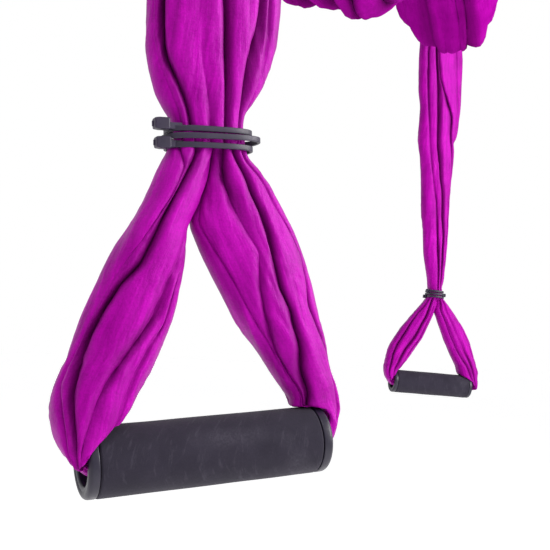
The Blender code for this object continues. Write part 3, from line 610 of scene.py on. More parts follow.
    def wrinkle(self, seed, undulate=0.8, long=0.85, crumple=0.6, fine=0.20, fade=None, patches=None, length=1.0):
        """Wrinkles in the cloth's own surface, in millimetres of height."""
        S = np.concatenate([np.zeros((self.R, 1)), np.cumsum(np.linalg.norm(np.diff(self.P, axis=1), axis=2), axis=1)], axis=1)
        S = S - S.mean(axis=1, keepdims=True)
        V = np.broadcast_to(self.V[:, None], S.shape)
        drift = 0.010 * noise(V / 0.07, S / 0.05, 0.0, seed + 9)
        u, v = (S + drift) * 1000, V * 1000 / length
        h = undulate * noise(u / 22, v / 60, 0.3, seed)
        sharp = ridged(u / 8.5, v / 58, 0.7, seed + 1) - 0.55
        mask = smoothstep(-0.35, 0.30, noise(u / 30, v / 45, 1.1, seed + 2))
        h += long * sharp * mask
        h += 0.45 * long * (ridged(u / 4.6, v / 36, 0.1, seed + 7) - 0.55) * (1 - 0.6 * mask)
        d1 = ridged((u + 0.55 * v) / 11, (v - 0.3 * u) / 22, 0.2, seed + 3) - 0.6
        d2 = ridged((u - 0.6 * v) / 10, (v + 0.35 * u) / 20, 0.9, seed + 4) - 0.6
        where = smoothstep(0.0, 0.45, noise(u / 26, v / 30, 2.2, seed + 5))
        if patches is not None:
            where = np.maximum(where, patches)
        h += crumple * (d1 + 0.8 * d2) * where
        h += fine * (ridged(u / 3.8, v / 7.5, 0.4, seed + 6) - 0.55) * (0.35 + 0.65 * where)
        if fade is not None:
            h = h * np.asarray(fade)[:, None]
        self.P = self.P + self.normals() * (h / 1000)[..., None]
        return self

    def mesh(self, name, mat, thick=0.00025, drop=None, tone=0.0075):
        S = np.concatenate([np.zeros((self.R, 1)), np.cumsum(np.linalg.norm(np.diff(self.P, axis=1), axis=2), axis=1)], axis=1)
        S = S - S.mean(axis=1, keepdims=True)
        V = np.broadcast_to(self.V[:, None], S.shape)
        uv = np.stack([S, V], axis=2).reshape(-1, 2)
        # fold attribute: the painted shade mask, from how far the cloth dips inward and from the shade beside each fold
        fold = np.clip(np.maximum(0.8 * self.inward / tone, self.shade), 0, 1).ravel()
        faces, verts = grid_faces(self.R, self.K), self.P.reshape(-1, 3)
        if drop is not None:          # faces that lie wholly in an opening go
            faces = faces[~drop.ravel()[faces].all(axis=1)]
            used = np.zeros(len(verts), bool)
            used[faces.ravel()] = True
            renumber = np.cumsum(used) - 1
            faces, verts, uv, fold = renumber[faces], verts[used], uv[used], fold[used]
        obj = put(name, verts, faces, mat, uv=uv, attr={"fold": fold})
        if thick:
            solidify(obj, thick)
        return obj

    def area(self):
        p = self.P
        a = np.cross(p[1:, :-1] - p[:-1, :-1], p[:-1, 1:] - p[:-1, :-1])
        b = np.cross(p[1:, :-1] - p[1:, 1:], p[:-1, 1:] - p[1:, 1:])
        return float((np.linalg.norm(a, axis=2) + np.linalg.norm(b, axis=2)).sum() / 2)


def read_knots(knots, v_at, rows_v):
    """Values of a fold's knots at each row: knots are (place..., values...)."""
    order = np.argsort(v_at)
    v = np.array(v_at)[order]
    out = []
    for col in np.array(knots, float)[order].T:
        out.append(soften(np.interp(rows_v, v, col), 6))
    return out


def loop_axes(degrees):
    a = math.radians(degrees)
    e = np.array([math.cos(a), math.sin(a), 0.0])
    return e, np.cross(e, UP)


# ---------------------------------------------------------------- hand loops
# Rows of a leg: left (along, up), right (along, up), front and back half depth, in mm in the
# loop's plane. Heights are above the grip axis. Rows of the _END tables are in the grip's own
# frame: along from its end face, up from its axis.
NEAR_LEFT = [
    (-20.0, 168, -2.0, 168, 7.6, 7.6), (-23.0, 162, -1.8, 162, 9.5, 9.0),
    (-25.8, 155, -2.4, 156, 10.5, 10.0), (-31.0, 144.6, -4.6, 143.5, 12.0, 11.0),
    (-37.8, 129.5, -8.4, 129.5, 13.5, 12.0), (-44.8, 116, -14.2, 116.5, 14.5, 13.0),
    (-54.0, 99.5, -15.2, 98.5, 15.0, 13.5), (-61.2, 84, -17.2, 84, 15.5, 14.0),
    (-67.0, 70, -19.8, 70, 15.5, 14.0), (-71.6, 56, -24.4, 56.5, 15.5, 14.0),
    (-76.8, 41, -31.0, 41, 16.5, 14.5), (-80.1, 31, -37.5, 30, 18.0, 15.5),
]
NEAR_LEFT_END = [   # inner (along, up), outer (along, up), front, back
    (-20.0, 21.0, 13.5, 27.0, 20.0, 17.0), (-13.0, 19.8, 13.0, 19.6, 21.5, 17.0),
    (-7.0, 19.2, 11.5, 13.2, 23.0, 16.0), (-2.2, 18.8, 9.0, 8.0, 24.0, 15.0),
    (1.4, 15.6, 6.0, 3.8, 20.0, 13.0), (1.3, 12.0, 3.2, 0.2, 15.0, 11.2),
    (0.2, 10.2, 0.4, -3.2, 10.4, 9.6), (-3.0, 9.9, -3.0, -6.0, 9.2, 9.2),
    (-9.0, 9.6, -9.0, -8.0, 9.2, 9.2),
]
NEAR_RIGHT = [
    (-3.0, 168, 14.0, 168, 7.6, 7.6), (-2.6, 162, 16.5, 162, 9.0, 9.0),
    (-2.4, 156, 18.6, 156.5, 9.5, 9.5), (-4.6, 143.5, 30.4, 144, 11.0, 11.0),
    (-8.2, 129.5, 39.8, 130, 12.0, 12.0), (-10.6, 119.5, 46.5, 119.3, 13.0, 13.0),
    (-6.2, 107, 52.2, 107, 13.5, 13.0), (0.5, 94.2, 57.3, 94, 14.0, 13.5),
    (8.5, 81, 62.0, 81, 14.0, 14.0), (16.7, 68.5, 66.5, 68.5, 14.0, 14.0),
    (27.0, 56, 70.6, 55.5, 14.0, 14.0), (38.0, 42.0, 73.8, 42.5, 13.0, 14.0),
    (49.4, 27.0, 77.7, 33.5, 11.0, 14.0),
]
NEAR_RIGHT_END = [
    (-15.6, 18.9, 12.9, 21.6, 9.5, 14.0), (-11.6, 18.9, 13.2, 16.6, 9.0, 14.5),
    (-6.2, 19.2, 12.2, 12.4, 8.8, 14.5), (-2.2, 18.8, 10.7, 8.4, 8.8, 14.0),
    (1.4, 15.6, 8.8, 4.2, 9.0, 13.0), (1.3, 12.0, 6.4, -0.6, 9.0, 11.4),
    (0.2, 10.2, 2.6, -4.4, 9.2, 9.8), (-3.0, 9.9, -3.0, -7.0, 9.2, 9.2),
    (-9.0, 9.6, -9.0, -8.6, 9.2, 9.2),
]
FAR_LEFT = [
    (-10.4, 150, 1.3, 150, 13.5, 12.5), (-9.0, 143, 1.4, 143, 15.5, 15.0),
    (-9.4, 138, 1.4, 138, 15.0, 15.0), (-13.4, 135, 2.6, 134, 13.5, 13.5),
    (-18.8, 128.1, 4.2, 127, 12.5, 12.5), (-27.0, 118.3, 1.0, 115.5, 12.5, 12.0),
    (-38.4, 105, -4.0, 102, 13.0, 12.5), (-49.5, 92.6, -8.6, 92, 13.5, 13.0),
    (-59.6, 79.6, -14.4, 79, 14.0, 13.5), (-67.4, 67.8, -19.8, 67.5, 14.0, 14.0),
    (-76.0, 52, -31.5, 52, 14.0, 14.0), (-80.0, 38.5, -41.0, 38.5, 15.0, 14.0),
    (-81.6, 30, -48.8, 30, 16.5, 14.5),
]
FAR_LEFT_END = [
    (-9.6, 20.4, 14.3, 22.4, 17.0, 15.5), (-7.0, 19.6, 13.6, 14.2, 18.5, 15.5),
    (-5.0, 19.0, 12.2, 9.0, 19.0, 15.0), (-1.8, 18.8, 10.0, 4.6, 18.0, 14.0),
    (1.4, 15.4, 7.4, 1.0, 14.6, 12.0), (1.3, 11.8, 4.4, -2.4, 11.4, 10.6),
    (0.2, 10.2, 1.4, -5.0, 9.8, 9.6), (-3.0, 9.9, -3.0, -7.0, 9.2, 9.2),
    (-9.0, 9.6, -9.0, -8.6, 9.2, 9.2),
]
FAR_RIGHT = [
    (1.7, 150, 12.0, 150, 13.0, 12.5), (1.6, 143, 11.0, 143, 15.5, 15.0),
    (1.6, 137, 11.6, 137, 15.0, 15.0), (2.6, 133, 16.4, 133.5, 13.5, 13.5),
    (4.2, 126, 24.0, 126.5, 12.5, 12.5), (2.2, 114.5, 33.6, 114.8, 12.5, 12.0),
    (5.9, 103.5, 41.6, 104, 13.0, 12.5), (12.2, 87, 53.4, 87.5, 13.5, 13.0),
    (17.0, 76, 59.6, 76, 13.5, 13.5), (22.8, 63, 65.4, 63.2, 14.0, 14.0),
    (29.0, 50.2, 69.2, 50.2, 14.0, 14.0), (35.4, 38, 73.0, 38, 15.0, 14.0),
    (41.0, 28.2, 76.0, 28.4, 16.5, 14.5),
]
FAR_RIGHT_END = [
    (-18.0, 20.4, 13.1, 25.0, 17.5, 15.0), (-12.0, 19.6, 12.5, 18.0, 19.0, 15.0),
    (-6.0, 19.2, 12.6, 11.5, 20.5, 14.5), (-1.6, 18.8, 11.6, 4.5, 21.0, 13.5),
    (1.5, 15.4, 9.0, -0.6, 18.0, 12.0), (1.3, 11.8, 5.4, -3.6, 13.4, 10.6),
    (0.2, 10.2, 1.6, -6.4, 10.0, 9.6), (-3.0, 9.9, -3.0, -8.2, 9.2, 9.2),
    (-9.0, 9.6, -9.0, -9.0, 9.2, 9.2),
]
# Folds of each leg, front side: (along, up, depth, left width, right width, lap) in mm.
NEAR_LEFT_FOLDS = [
    [(-22.7, 156.6, 3.0, 3, 2.5, .5), (-19.6, 146.8, 3.5, 3, 2.5, .8), (-24.4, 135, 3.0, 3, 3, .5),
     (-31.5, 122.8, 2.0, 3, 3, .3), (-42, 106, 0.8, 4, 4, 0), (-54, 88, 0.2, 4, 4, 0), (-67.5, 60, 0.4, 3, 3, 0),
     (-77.0, 38, 2.0, 3, 3, 0), (-78.8, 28.2, 2.6, 3, 3, 0), (-77.7, 18.5, 2.6, 3, 3, 0), (-74.4, 6.3, 2.0, 3, 2, 0)],
    [(-13.2, 165, 4.0, 3.5, 4, 0), (-13.2, 156.1, 5.0, 4, 4, 0), (-15.5, 148.7, 6.0, 4, 5, .5), (-20.9, 138.5, 6.0, 4, 5, .6),
     (-26.3, 129, 6.0, 4, 5, .8), (-34.3, 111.4, 6.5, 5, 5, 1.0), (-42.2, 94.2, 8.5, 6, 5, 1.2),
     (-52.0, 84, 9.5, 6.5, 5, 1.4), (-60.0, 71.4, 9.5, 6.5, 5, 1.4), (-66.8, 57.4, 9.0, 5.5, 5, 1.2),
     (-72.2, 40.2, 8.5, 4.5, 5, .9), (-74.6, 28.3, 8.0, 4, 5, .7), (-73.6, 15.6, 7.0, 4, 5, .5),
     (-70.8, 4.6, 6.0, 3.5, 4, .3), (-66.5, -2.0, 4.0, 3, 3, 0)],
    [(-7.5, 165, 0, 5, 5, 0), (-8, 150, 0, 5, 5, 0), (-14, 120, 0.3, 5, 5, 0), (-21.4, 97.4, 1.6, 6, 6, 0), (-27.9, 83.4, 3.0, 6, 5, 0),
     (-33.7, 68.1, 4.5, 6.5, 5, .3), (-40.6, 58.1, 5.2, 7, 5, .6), (-48.2, 47.6, 4.8, 7, 4, .6), (-56.6, 37, 3.6, 6, 4, .3),
     (-64.4, 24.2, 2.4, 4, 4, 0), (-66.6, 10, 1.8, 3, 3, 0)],
    [(-4.2, 165, 0, 3, 3, 0), (-5.2, 150, 0, 3, 3, 0), (-15.2, 112, 0.2, 3, 3, 0), (-17.6, 95, 1.0, 3, 3, 0), (-21.2, 85.5, 2.2, 3, 4, .8),
     (-26.5, 64.5, 2.8, 3, 4, .9), (-33.8, 54, 2.4, 4, 4, .6), (-41.5, 41.1, 2.2, 4, 4, .3),
     (-48.0, 26, 2.2, 4, 3, 0), (-57.0, 8.1, 2.0, 3, 3, 0)],
]
NEAR_RIGHT_FOLDS = [
    [(-2.0, 165, 0, 2, 3, 0), (-2.4, 156, 0.4, 2, 3, 0), (-8.2, 128, 0.6, 2, 3, 0), (-8.6, 116.3, 1.8, 2, 3, .5), (-2.9, 107, 2.3, 2.5, 3, .8),
     (3.6, 98.0, 2.4, 3, 3, .8), (11, 87.1, 2.4, 3, 3, .8), (17.1, 76.8, 2.2, 3, 3, .8), (21.7, 69.9, 1.8, 3, 3, .4),
     (30, 58, 1.4, 3, 3, .2), (40, 44, 1.2, 3, 3, 0), (52, 27, 1.0, 3, 3, 0)],
    [(1.0, 165, 4.0, 3, 3, 0), (0.6, 156.9, 5.5, 4, 4, 0), (0.9, 144.6, 6.5, 5, 6, 0), (5.1, 134.4, 5.0, 5, 7, 0), (12, 120, 2.4, 6, 8, 0),
     (22.5, 104.9, 1.4, 5, 5, 0), (24.0, 85.2, 3.4, 4, 3, 0), (29.4, 66.7, 4.2, 4, 3, 0), (35.6, 50.6, 3.4, 4, 3, 0),
     (44, 38, 2.8, 3, 3, 0), (51, 29, 2.2, 3, 3, 0)],
    [(6.8, 165, 3.5, 3, 3, 0), (7.3, 158.2, 4.5, 3, 3, 0), (12.2, 148.5, 5.2, 3.5, 4, .6), (18.2, 136.1, 5.8, 4, 4, .9), (24.2, 126.2, 5.8, 4, 4, 1.0),
     (29.1, 115.1, 6.0, 4, 4, 1.2), (32.9, 99.8, 6.5, 4.5, 3, 1.4), (36.8, 85.9, 6.5, 5, 3, 1.4), (43.6, 74.3, 7.0, 5.5, 3, 1.6),
     (50.0, 55.6, 8.5, 7, 3.5, 1.8), (53.3, 38.7, 9.5, 9, 3.5, 1.4), (55.6, 27.3, 8.5, 9, 3.5, .9), (60, 17, 6.0, 5, 3, 0)],
    [(12.0, 165, 2.0, 2.5, 3, 0), (13.5, 157, 2.8, 2.5, 3, 0), (24, 145, 2.2, 3, 3, 0), (34, 129, 1.6, 3, 3, 0), (44, 115, 1.6, 3, 3, 0),
     (50.2, 104, 2.2, 3, 2.5, 0), (52.8, 91.4, 3.2, 3, 2.5, .6), (54.5, 77, 3.8, 3.5, 3, .8), (60.5, 65.6, 3.8, 3, 3, .8),
     (67.6, 51.3, 3.2, 3, 3, .3), (71.0, 42, 2.8, 3, 2, 0), (74.5, 30, 2.2, 3, 2, 0), (75.5, 18, 1.8, 3, 2, 0)],
]
FAR_LEFT_FOLDS = [
    [(-9.5, 146, 2, 3, 3, 0), (-12.5, 132, 3, 3, 3, 0), (-30.4, 110.8, 4.0, 4, 4, 0), (-49.2, 82.4, 6.5, 5, 5, .8), (-62.7, 60.7, 7.5, 5, 5, 1.0),
     (-72.1, 40.7, 6.5, 4, 4, .6), (-77.5, 24, 4.5, 3, 3, 0), (-75, 8, 3, 3, 3, 0)],
    [(-5.2, 146, 3, 3, 3, 0), (-8.8, 125.8, 6.5, 4, 4, .6), (-15.7, 104.6, 7.5, 5, 5, 1.0), (-29.6, 79.6, 7.0, 5, 5, 1.0),
     (-47.8, 54.9, 6.5, 5, 5, .8), (-63.0, 32.0, 5.0, 4, 4, .4), (-70, 16, 3, 3, 3, 0)],
    [(-1.8, 146, 1, 2, 2, 0), (-3.0, 122, 2, 3, 2, 0), (-8.2, 104, 3, 3, 3, .3), (-19.5, 78, 4.5, 4, 3, .8), (-33.0, 58, 4.0, 4, 3, .8),
     (-50.0, 36.0, 3.0, 4, 3, .3), (-60, 22, 2, 3, 3, 0)],
]
FAR_RIGHT_FOLDS = [
    [(4.6, 146, 3, 3, 3, 0), (6.2, 129.5, 4.0, 4, 4, 0), (14.0, 102.6, 2.6, 6, 7, .3), (24.6, 76.8, 2.4, 7, 8, .4), (37.5, 50.9, 3.2, 7, 8, .5),
     (48, 35, 4.0, 6, 7, .4), (58, 22, 3.4, 4, 4, 0)],
    [(8.5, 146, 2, 3, 3, 0), (12.0, 130, 2.2, 4, 4, .2), (22, 104, 1.3, 5, 6, .2), (34, 80, 1.2, 6, 7, .2), (46, 58, 2.2, 5, 6, .4),
     (58, 38, 4.5, 5, 5, .6), (66, 20, 4, 4, 3, 0)],
    [(12, 146, 1, 2, 2, 0), (18.0, 132, 1.5, 3, 3, 0), (35, 108, 2.0, 3, 3, 0), (49.5, 84, 2.4, 3, 3, .3), (60.5, 60, 2.6, 3, 3, .4),
     (69, 38, 2.4, 3, 2.5, 0), (74, 20, 1.6, 3, 2, 0)],
]


def leg(name, tag, place, degrees, tilt, grip_at, side, rows, end, folds, seed, wrap=None, rows_n=190, columns=15):
    """One gathered leg of a hand loop, from inside the cable ties to inside the grip's bore."""
    e, n = loop_axes(degrees)
    t = math.radians(tilt)
    gx, gz = grip_at
    ax = np.array([math.cos(t), math.sin(t)])
    lift = np.array([-math.sin(t), math.cos(t)])
    sign = -1 if side == "left" else 1
    face = np.array([gx, gz]) + ax * sign * 1000 * GRIP_LONG / 2
    table = []
    for lu, lz, ru, rz, bf, bb in rows:
        trim = 0.9 * float(smoothstep(150, 120, lz))
        table.append((lu + (trim if side == "left" else 0.0), lz, ru - (trim if side == "right" else 0.0), rz, bf, bb, 0.0))
    for k, (ia, ih, oa, oh, bf, bb) in enumerate(end):
        inner = face + ax * sign * ia + lift * ih
        outer = face + ax * sign * oa + lift * oh
        l, r = (outer, inner) if side == "left" else (inner, outer)
        table.append((*l, *r, bf, bb, 1.0 if ih < 11.0 else 0.0))
    m = catmull(table, rows_n)
    L, Rr, bf, bb, inside = m[:, 0:2], m[:, 2:4], m[:, 4], m[:, 5], m[:, 6]
    mid, half = (L + Rr) / 2, np.linalg.norm(Rr - L, axis=1) / 2
    d = (Rr - L) / (2 * half)[:, None]
    to3 = lambda q: place + e * (q[..., 0:1] / 1000) + UP * (q[..., 1:2] / 1000)
    C = to3(mid)
    W = e * d[:, 0:1] + UP * d[:, 1:2]
    N = np.broadcast_to(n, C.shape)
    sw = Sweep(C, W, N, half / 1000, bf / 1000, bb / 1000, 2.25)
    for f in folds:
        v_at, fr, rest = [], [], []
        for u, z, *values in f:
            q = np.array([u, z])
            cr = (Rr - L)[:, 0] * (q - L)[:, 1] - (Rr - L)[:, 1] * (q - L)[:, 0]
            along = ((q - L) * (Rr - L)).sum(1) / (4 * half ** 2)
            ok = (along > -0.3) & (along < 1.3)
            i = np.where(ok[:-1] & (np.sign(cr[:-1]) != np.sign(cr[1:])))[0]
            if not len(i):
                continue
            i = int(i[0])
            w = cr[i] / (cr[i] - cr[i + 1])
            v_at.append(i + w)
            fr.append(2 * (along[i] * (1 - w) + along[i + 1] * w) - 1)
            rest.append(values)
        if len(v_at) < 3:
            continue
        cols = read_knots([(a, *b) for a, b in zip(fr, rest)], v_at, np.arange(rows_n))
        mm = [c / 1000 for c in cols[1:]]
        sw.fold(sw.angle_of(cols[0]), mm[0], mm[1], mm[2], mm[3], 0.0, 0.35)
    rng = np.random.default_rng(seed)
    vv = sw.V / sw.V[-1]
    calm = smoothstep(0, 0.10, vv) * (1 - smoothstep(0.86, 0.99, vv))
    for k, deg in enumerate((-166, -150, -132, -112, 108, 128, 146, 164)):
        wob = 4 * noise(vv * 2.4, k * 3.1, seed * 0.7, 5)
        dep = (0.0055 + 0.0035 * rng.random()) * (0.75 + 0.5 * noise(vv * 2.1, k * 1.7, seed, 8)) * (0.35 + 0.65 * calm)
        lap = (0.0010 if k % 2 else -0.0010) * calm
        sw.fold(np.radians(deg + wob * calm), np.maximum(dep, 0.0006), 0.0038, 0.0038, lap, 0.0006 * calm, 0.35)
    sw.build(columns, tail=0.007)
    fade = 0.25 + 0.75 * calm
    sw.wrinkle(seed, fade=fade)
    # cloth that lies on the grip follows its round surface
    centre = place + e * (gx / 1000) + UP * (gz / 1000)
    axis = e * ax[0] + UP * ax[1]
    up_g = e * lift[0] + UP * lift[1]
    rel = sw.P - centre
    a = rel @ axis * sign
    f_, h_ = rel @ n, rel @ up_g
    if wrap:
        low, high, strength = wrap
        w = (1 - smoothstep(low, high, h_)) * (1 - smoothstep(0.5, 1.0, inside))[:, None] * strength
        w = w * smoothstep(0.024, 0.040, a)
        hh = np.maximum(h_, 0.0165)
        ang = np.clip(f_ / hh, -1.5, 1.5)
        f2, h2 = hh * np.sin(ang), hh * np.cos(ang) + (h_ - hh)
        f_, h_ = f_ + (f2 - f_) * w, h_ + (h2 - h_) * w
    rad = np.hypot(f_, h_)
    mouth = (inside < 0.98)[:, None] & (a > GRIP_LONG / 2 - 0.0045) & (rad < 0.0155)
    a = np.where(mouth & (rad > CAP_BORE - 0.0007), np.maximum(a, GRIP_LONG / 2 + 0.0007), a)
    outside_bore = (inside < 0.98)[:, None] & (a < GRIP_LONG / 2 + 0.0006) & ~mouth
    need = GRIP_R + 0.0007 + 0.0006 * (0.5 + 0.5 * noise(sw.S * 180, np.broadcast_to(sw.V[:, None], sw.S.shape) * 60, 0.0, seed + 3))
    push = outside_bore & (rad < need)
    k = np.where(push, need / np.maximum(rad, 1e-6), 1.0)
    f_, h_ = f_ * k, h_ * k
    # inside the bore it stays clear of the cap
    rad = np.hypot(f_, h_)
    inb = (a < GRIP_LONG / 2 + 0.0012) & (inside >= 0.98)[:, None]
    k = np.where(inb & (rad > CAP_BORE - 0.0007), (CAP_BORE - 0.0007) / np.maximum(rad, 1e-6), 1.0)
    f_, h_ = f_ * k, h_ * k
    sw.P = centre + axis * (a * sign)[..., None] + n * f_[..., None] + up_g * h_[..., None]
    obj = sw.mesh(name, NYLON)
    return obj, sw


# ---------------------------------------------------------------- straps
OVER_BAR = [
    (1311.9, -10, 10, 0.5, 0.0), (1311.5, -10, 10, 2.6, 0.0), (1310.3, -10, 10, 5.2, 0.0), (1307.7, -10, 10, 7.8, 0.0),
    (1303, -10, 10, 9.2, 0.0), (1295, -10, 10, 9.3, 0.0), (1285, -10.5, 10.5, 9.4, 0.0), (1260, -12.5, 12.5, 9.8, 0.0),
]
NEAR_STRAP = OVER_BAR + [   # height above the grip axis, left edge, right edge, half depth, share of the turn
    (1210, -18, 18, 10.5, 0.02), (1150, -24, 24, 11, 0.06),
    (1050, -29, 29, 11.5, 0.15), (920, -32, 32, 12, 0.30), (780, -34, 34, 12, 0.48), (640, -35.5, 35.5, 12.5, 0.66),
    (500, -37, 36.5, 13, 0.82), (380, -38, 37.2, 13.5, 0.94), (290, -39.2, 36.8, 14, 1.0), (240, -40.4, 35.2, 14, 1.0),
    (220, -39.6, 34.0, 14, 1.0), (209, -39.0, 31.2, 13.5, 1.0), (197, -36.8, 26.6, 12.8, 1.0), (186, -34.0, 20.4, 11.8, 1.0),
    (178, -29.8, 15.6, 10.8, 1.0), (172, -25.6, 15.0, 10.2, 1.0), (166, -23.4, 16.0, 10.0, 1.0), (159.5, -22.8, 16.6, 9.6, 1.0),
]
FAR_STRAP = OVER_BAR + [
    (1210, -18, 18, 10.5, 0.02), (1150, -23, 23, 11, 0.06),
    (1050, -27, 27, 11.5, 0.15), (920, -30.5, 31, 12, 0.30), (780, -33, 36, 12.5, 0.48), (660, -36, 40.5, 13, 0.64),
    (560, -37.1, 46.2, 13.5, 0.78), (520, -37.0, 46.0, 13.5, 0.84), (483, -36.5, 45.0, 13.5, 0.88), (443, -31.4, 41.6, 13.5, 0.92),
    (416, -32.4, 37.8, 13.2, 0.95), (400, -33.8, 33.4, 13, 0.97), (391, -33.0, 29.6, 13, 0.98), (378, -31.2, 30.8, 13, 1.0),
    (350, -27.6, 29.0, 12.6, 1.0), (321, -26.6, 26.0, 12.2, 1.0), (285, -25.6, 24.6, 11.8, 1.0), (250, -22.8, 23.4, 11.4, 1.0),
    (214, -19.6, 21.8, 11.2, 1.0), (190, -15.4, 18.6, 11.4, 1.0), (165, -11.3, 15.5, 12.4, 1.0), (156, -10.6, 13.2, 13.4, 1.0),
    (150, -9.6, 11.6, 14.6, 1.0), (143, -9.4, 11.4, 15.4, 1.0), (136, -9.4, 11.6, 15.2, 1.0),
]
NEAR_STRAP_FOLDS = [
    [(-22, 1285, 0.5, 3, 3, 0), (-17, 1150, 1, 4, 4, 0), (-23, 920, 2, 4, 4, 0), (-27, 640, 2, 4, 4, 0), (-33, 400, 1.5, 3, 3, 0), (-37.5, 290, 0.8, 2, 2, 0),
     (-39.6, 240, 0.2, 1, 1, 0), (-38.2, 215, 0.2, 1, 1, 0), (-35.2, 200, 0.3, 1.5, 1.5, 0), (-27, 182, 0.8, 2, 2, 0), (-22, 172, 1.2, 2, 2, 0), (-20, 160, 1.4, 2, 2, 0)],
    [(-4, 1285, 1, 2, 2, 0), (-7, 1150, 5, 5, 5, .6), (-10, 920, 7, 7, 6, 1), (-15, 640, 8, 8, 6, 1.2), (-22, 400, 9, 8, 6, 1.2),
     (-32, 290, 10, 8, 4, .9), (-35.2, 240, 11, 7.6, 3.0, .7), (-34.8, 220.8, 11, 7.4, 3.0, .7), (-33.4, 207.5, 10, 6.4, 3.0, 1.0),
     (-30.4, 199.4, 7.5, 5.0, 3.5, 1.2), (-25.8, 192.6, 6.5, 4.5, 3.5, 1.0), (-21.5, 183.4, 6.0, 4, 3.5, .8),
     (-18.7, 176.4, 5.5, 3.5, 3, .5), (-17.3, 171.7, 4.5, 3, 3, .3), (-16.3, 160, 4, 3, 3, 0)],
    [(-1, 1285, 0.5, 2, 2, 0), (-2, 1150, 1.5, 4, 4, 0), (-3, 920, 2.5, 5, 5, 0), (-6, 640, 2.5, 6, 6, 0), (-10, 400, 1.8, 6, 6, 0), (-14, 290, 0.8, 7, 7, 0),
     (-16, 240, 0.5, 8, 8, 0), (-14, 205, 0.9, 7, 7, 0), (-10, 190, 1.2, 5, 5, 0), (-6.5, 176, 2.2, 4, 4, 0), (-6, 168, 3.0, 3, 3, 0), (-6, 160, 3, 3, 3, 0)],
    [(1, 1285, 1, 2, 2, 0), (3, 1150, 5, 5, 5, -.6), (4, 920, 7, 6, 6, -.8), (2, 640, 8, 6, 6, -1), (1, 400, 9, 5, 6, -1.1),
     (-1.4, 290, 10, 6, 6, -.5), (-1.6, 240.2, 10.5, 5.6, 5.0, -.4), (-0.8, 221.6, 10, 4.8, 4.8, -.4), (-0.4, 205.3, 8.5, 4.4, 4.8, -.6),
     (0.6, 196.8, 7.0, 3.4, 4.4, -.7), (1.4, 186.8, 7.0, 3.2, 5, -.7), (2.4, 173.1, 6, 3, 4, -.5), (3.0, 160, 4.5, 3, 3, 0)],
    [(5, 1285, 1, 2, 2, 0), (9, 1150, 4, 4, 4, -.6), (14, 920, 5, 5, 6, -.8), (16, 640, 6, 5, 8, -1), (16, 400, 7, 5, 9, -1.2),
     (19.5, 290, 7, 4, 7, -1.4), (18.8, 238, 7.5, 3.5, 7, -1.6), (15.6, 221, 8.5, 3.2, 9, -1.9), (12.0, 208.5, 9.0, 3.2, 10, -1.9),
     (10.9, 198.2, 8.5, 3.2, 9, -1.9), (10.9, 188.9, 7, 3, 6, -1.4), (11.2, 181.5, 4.5, 2.5, 3, -.7), (11.0, 172, 3, 2, 2, 0), (10.6, 160, 3, 2, 2, 0)],
    [(8, 1285, .5, 2, 2, 0), (17, 1150, 1, 4, 4, 0), (23, 920, 2, 4, 4, 0), (27, 640, 2, 4, 4, 0), (28, 400, 2.5, 4, 4, .3), (26.5, 290, 3, 4, 4, .5),
     (25.6, 240, 3.2, 4, 4, .6), (25.0, 222, 2.4, 4, 4, .4), (24, 208, 1.4, 4, 4, 0), (20.6, 195, 1, 3, 3, 0), (17.4, 186, .8, 2, 2, 0), (14.4, 176, .8, 1.5, 1.5, 0),
     (14, 160, .8, 1.5, 1.5, 0)],
]
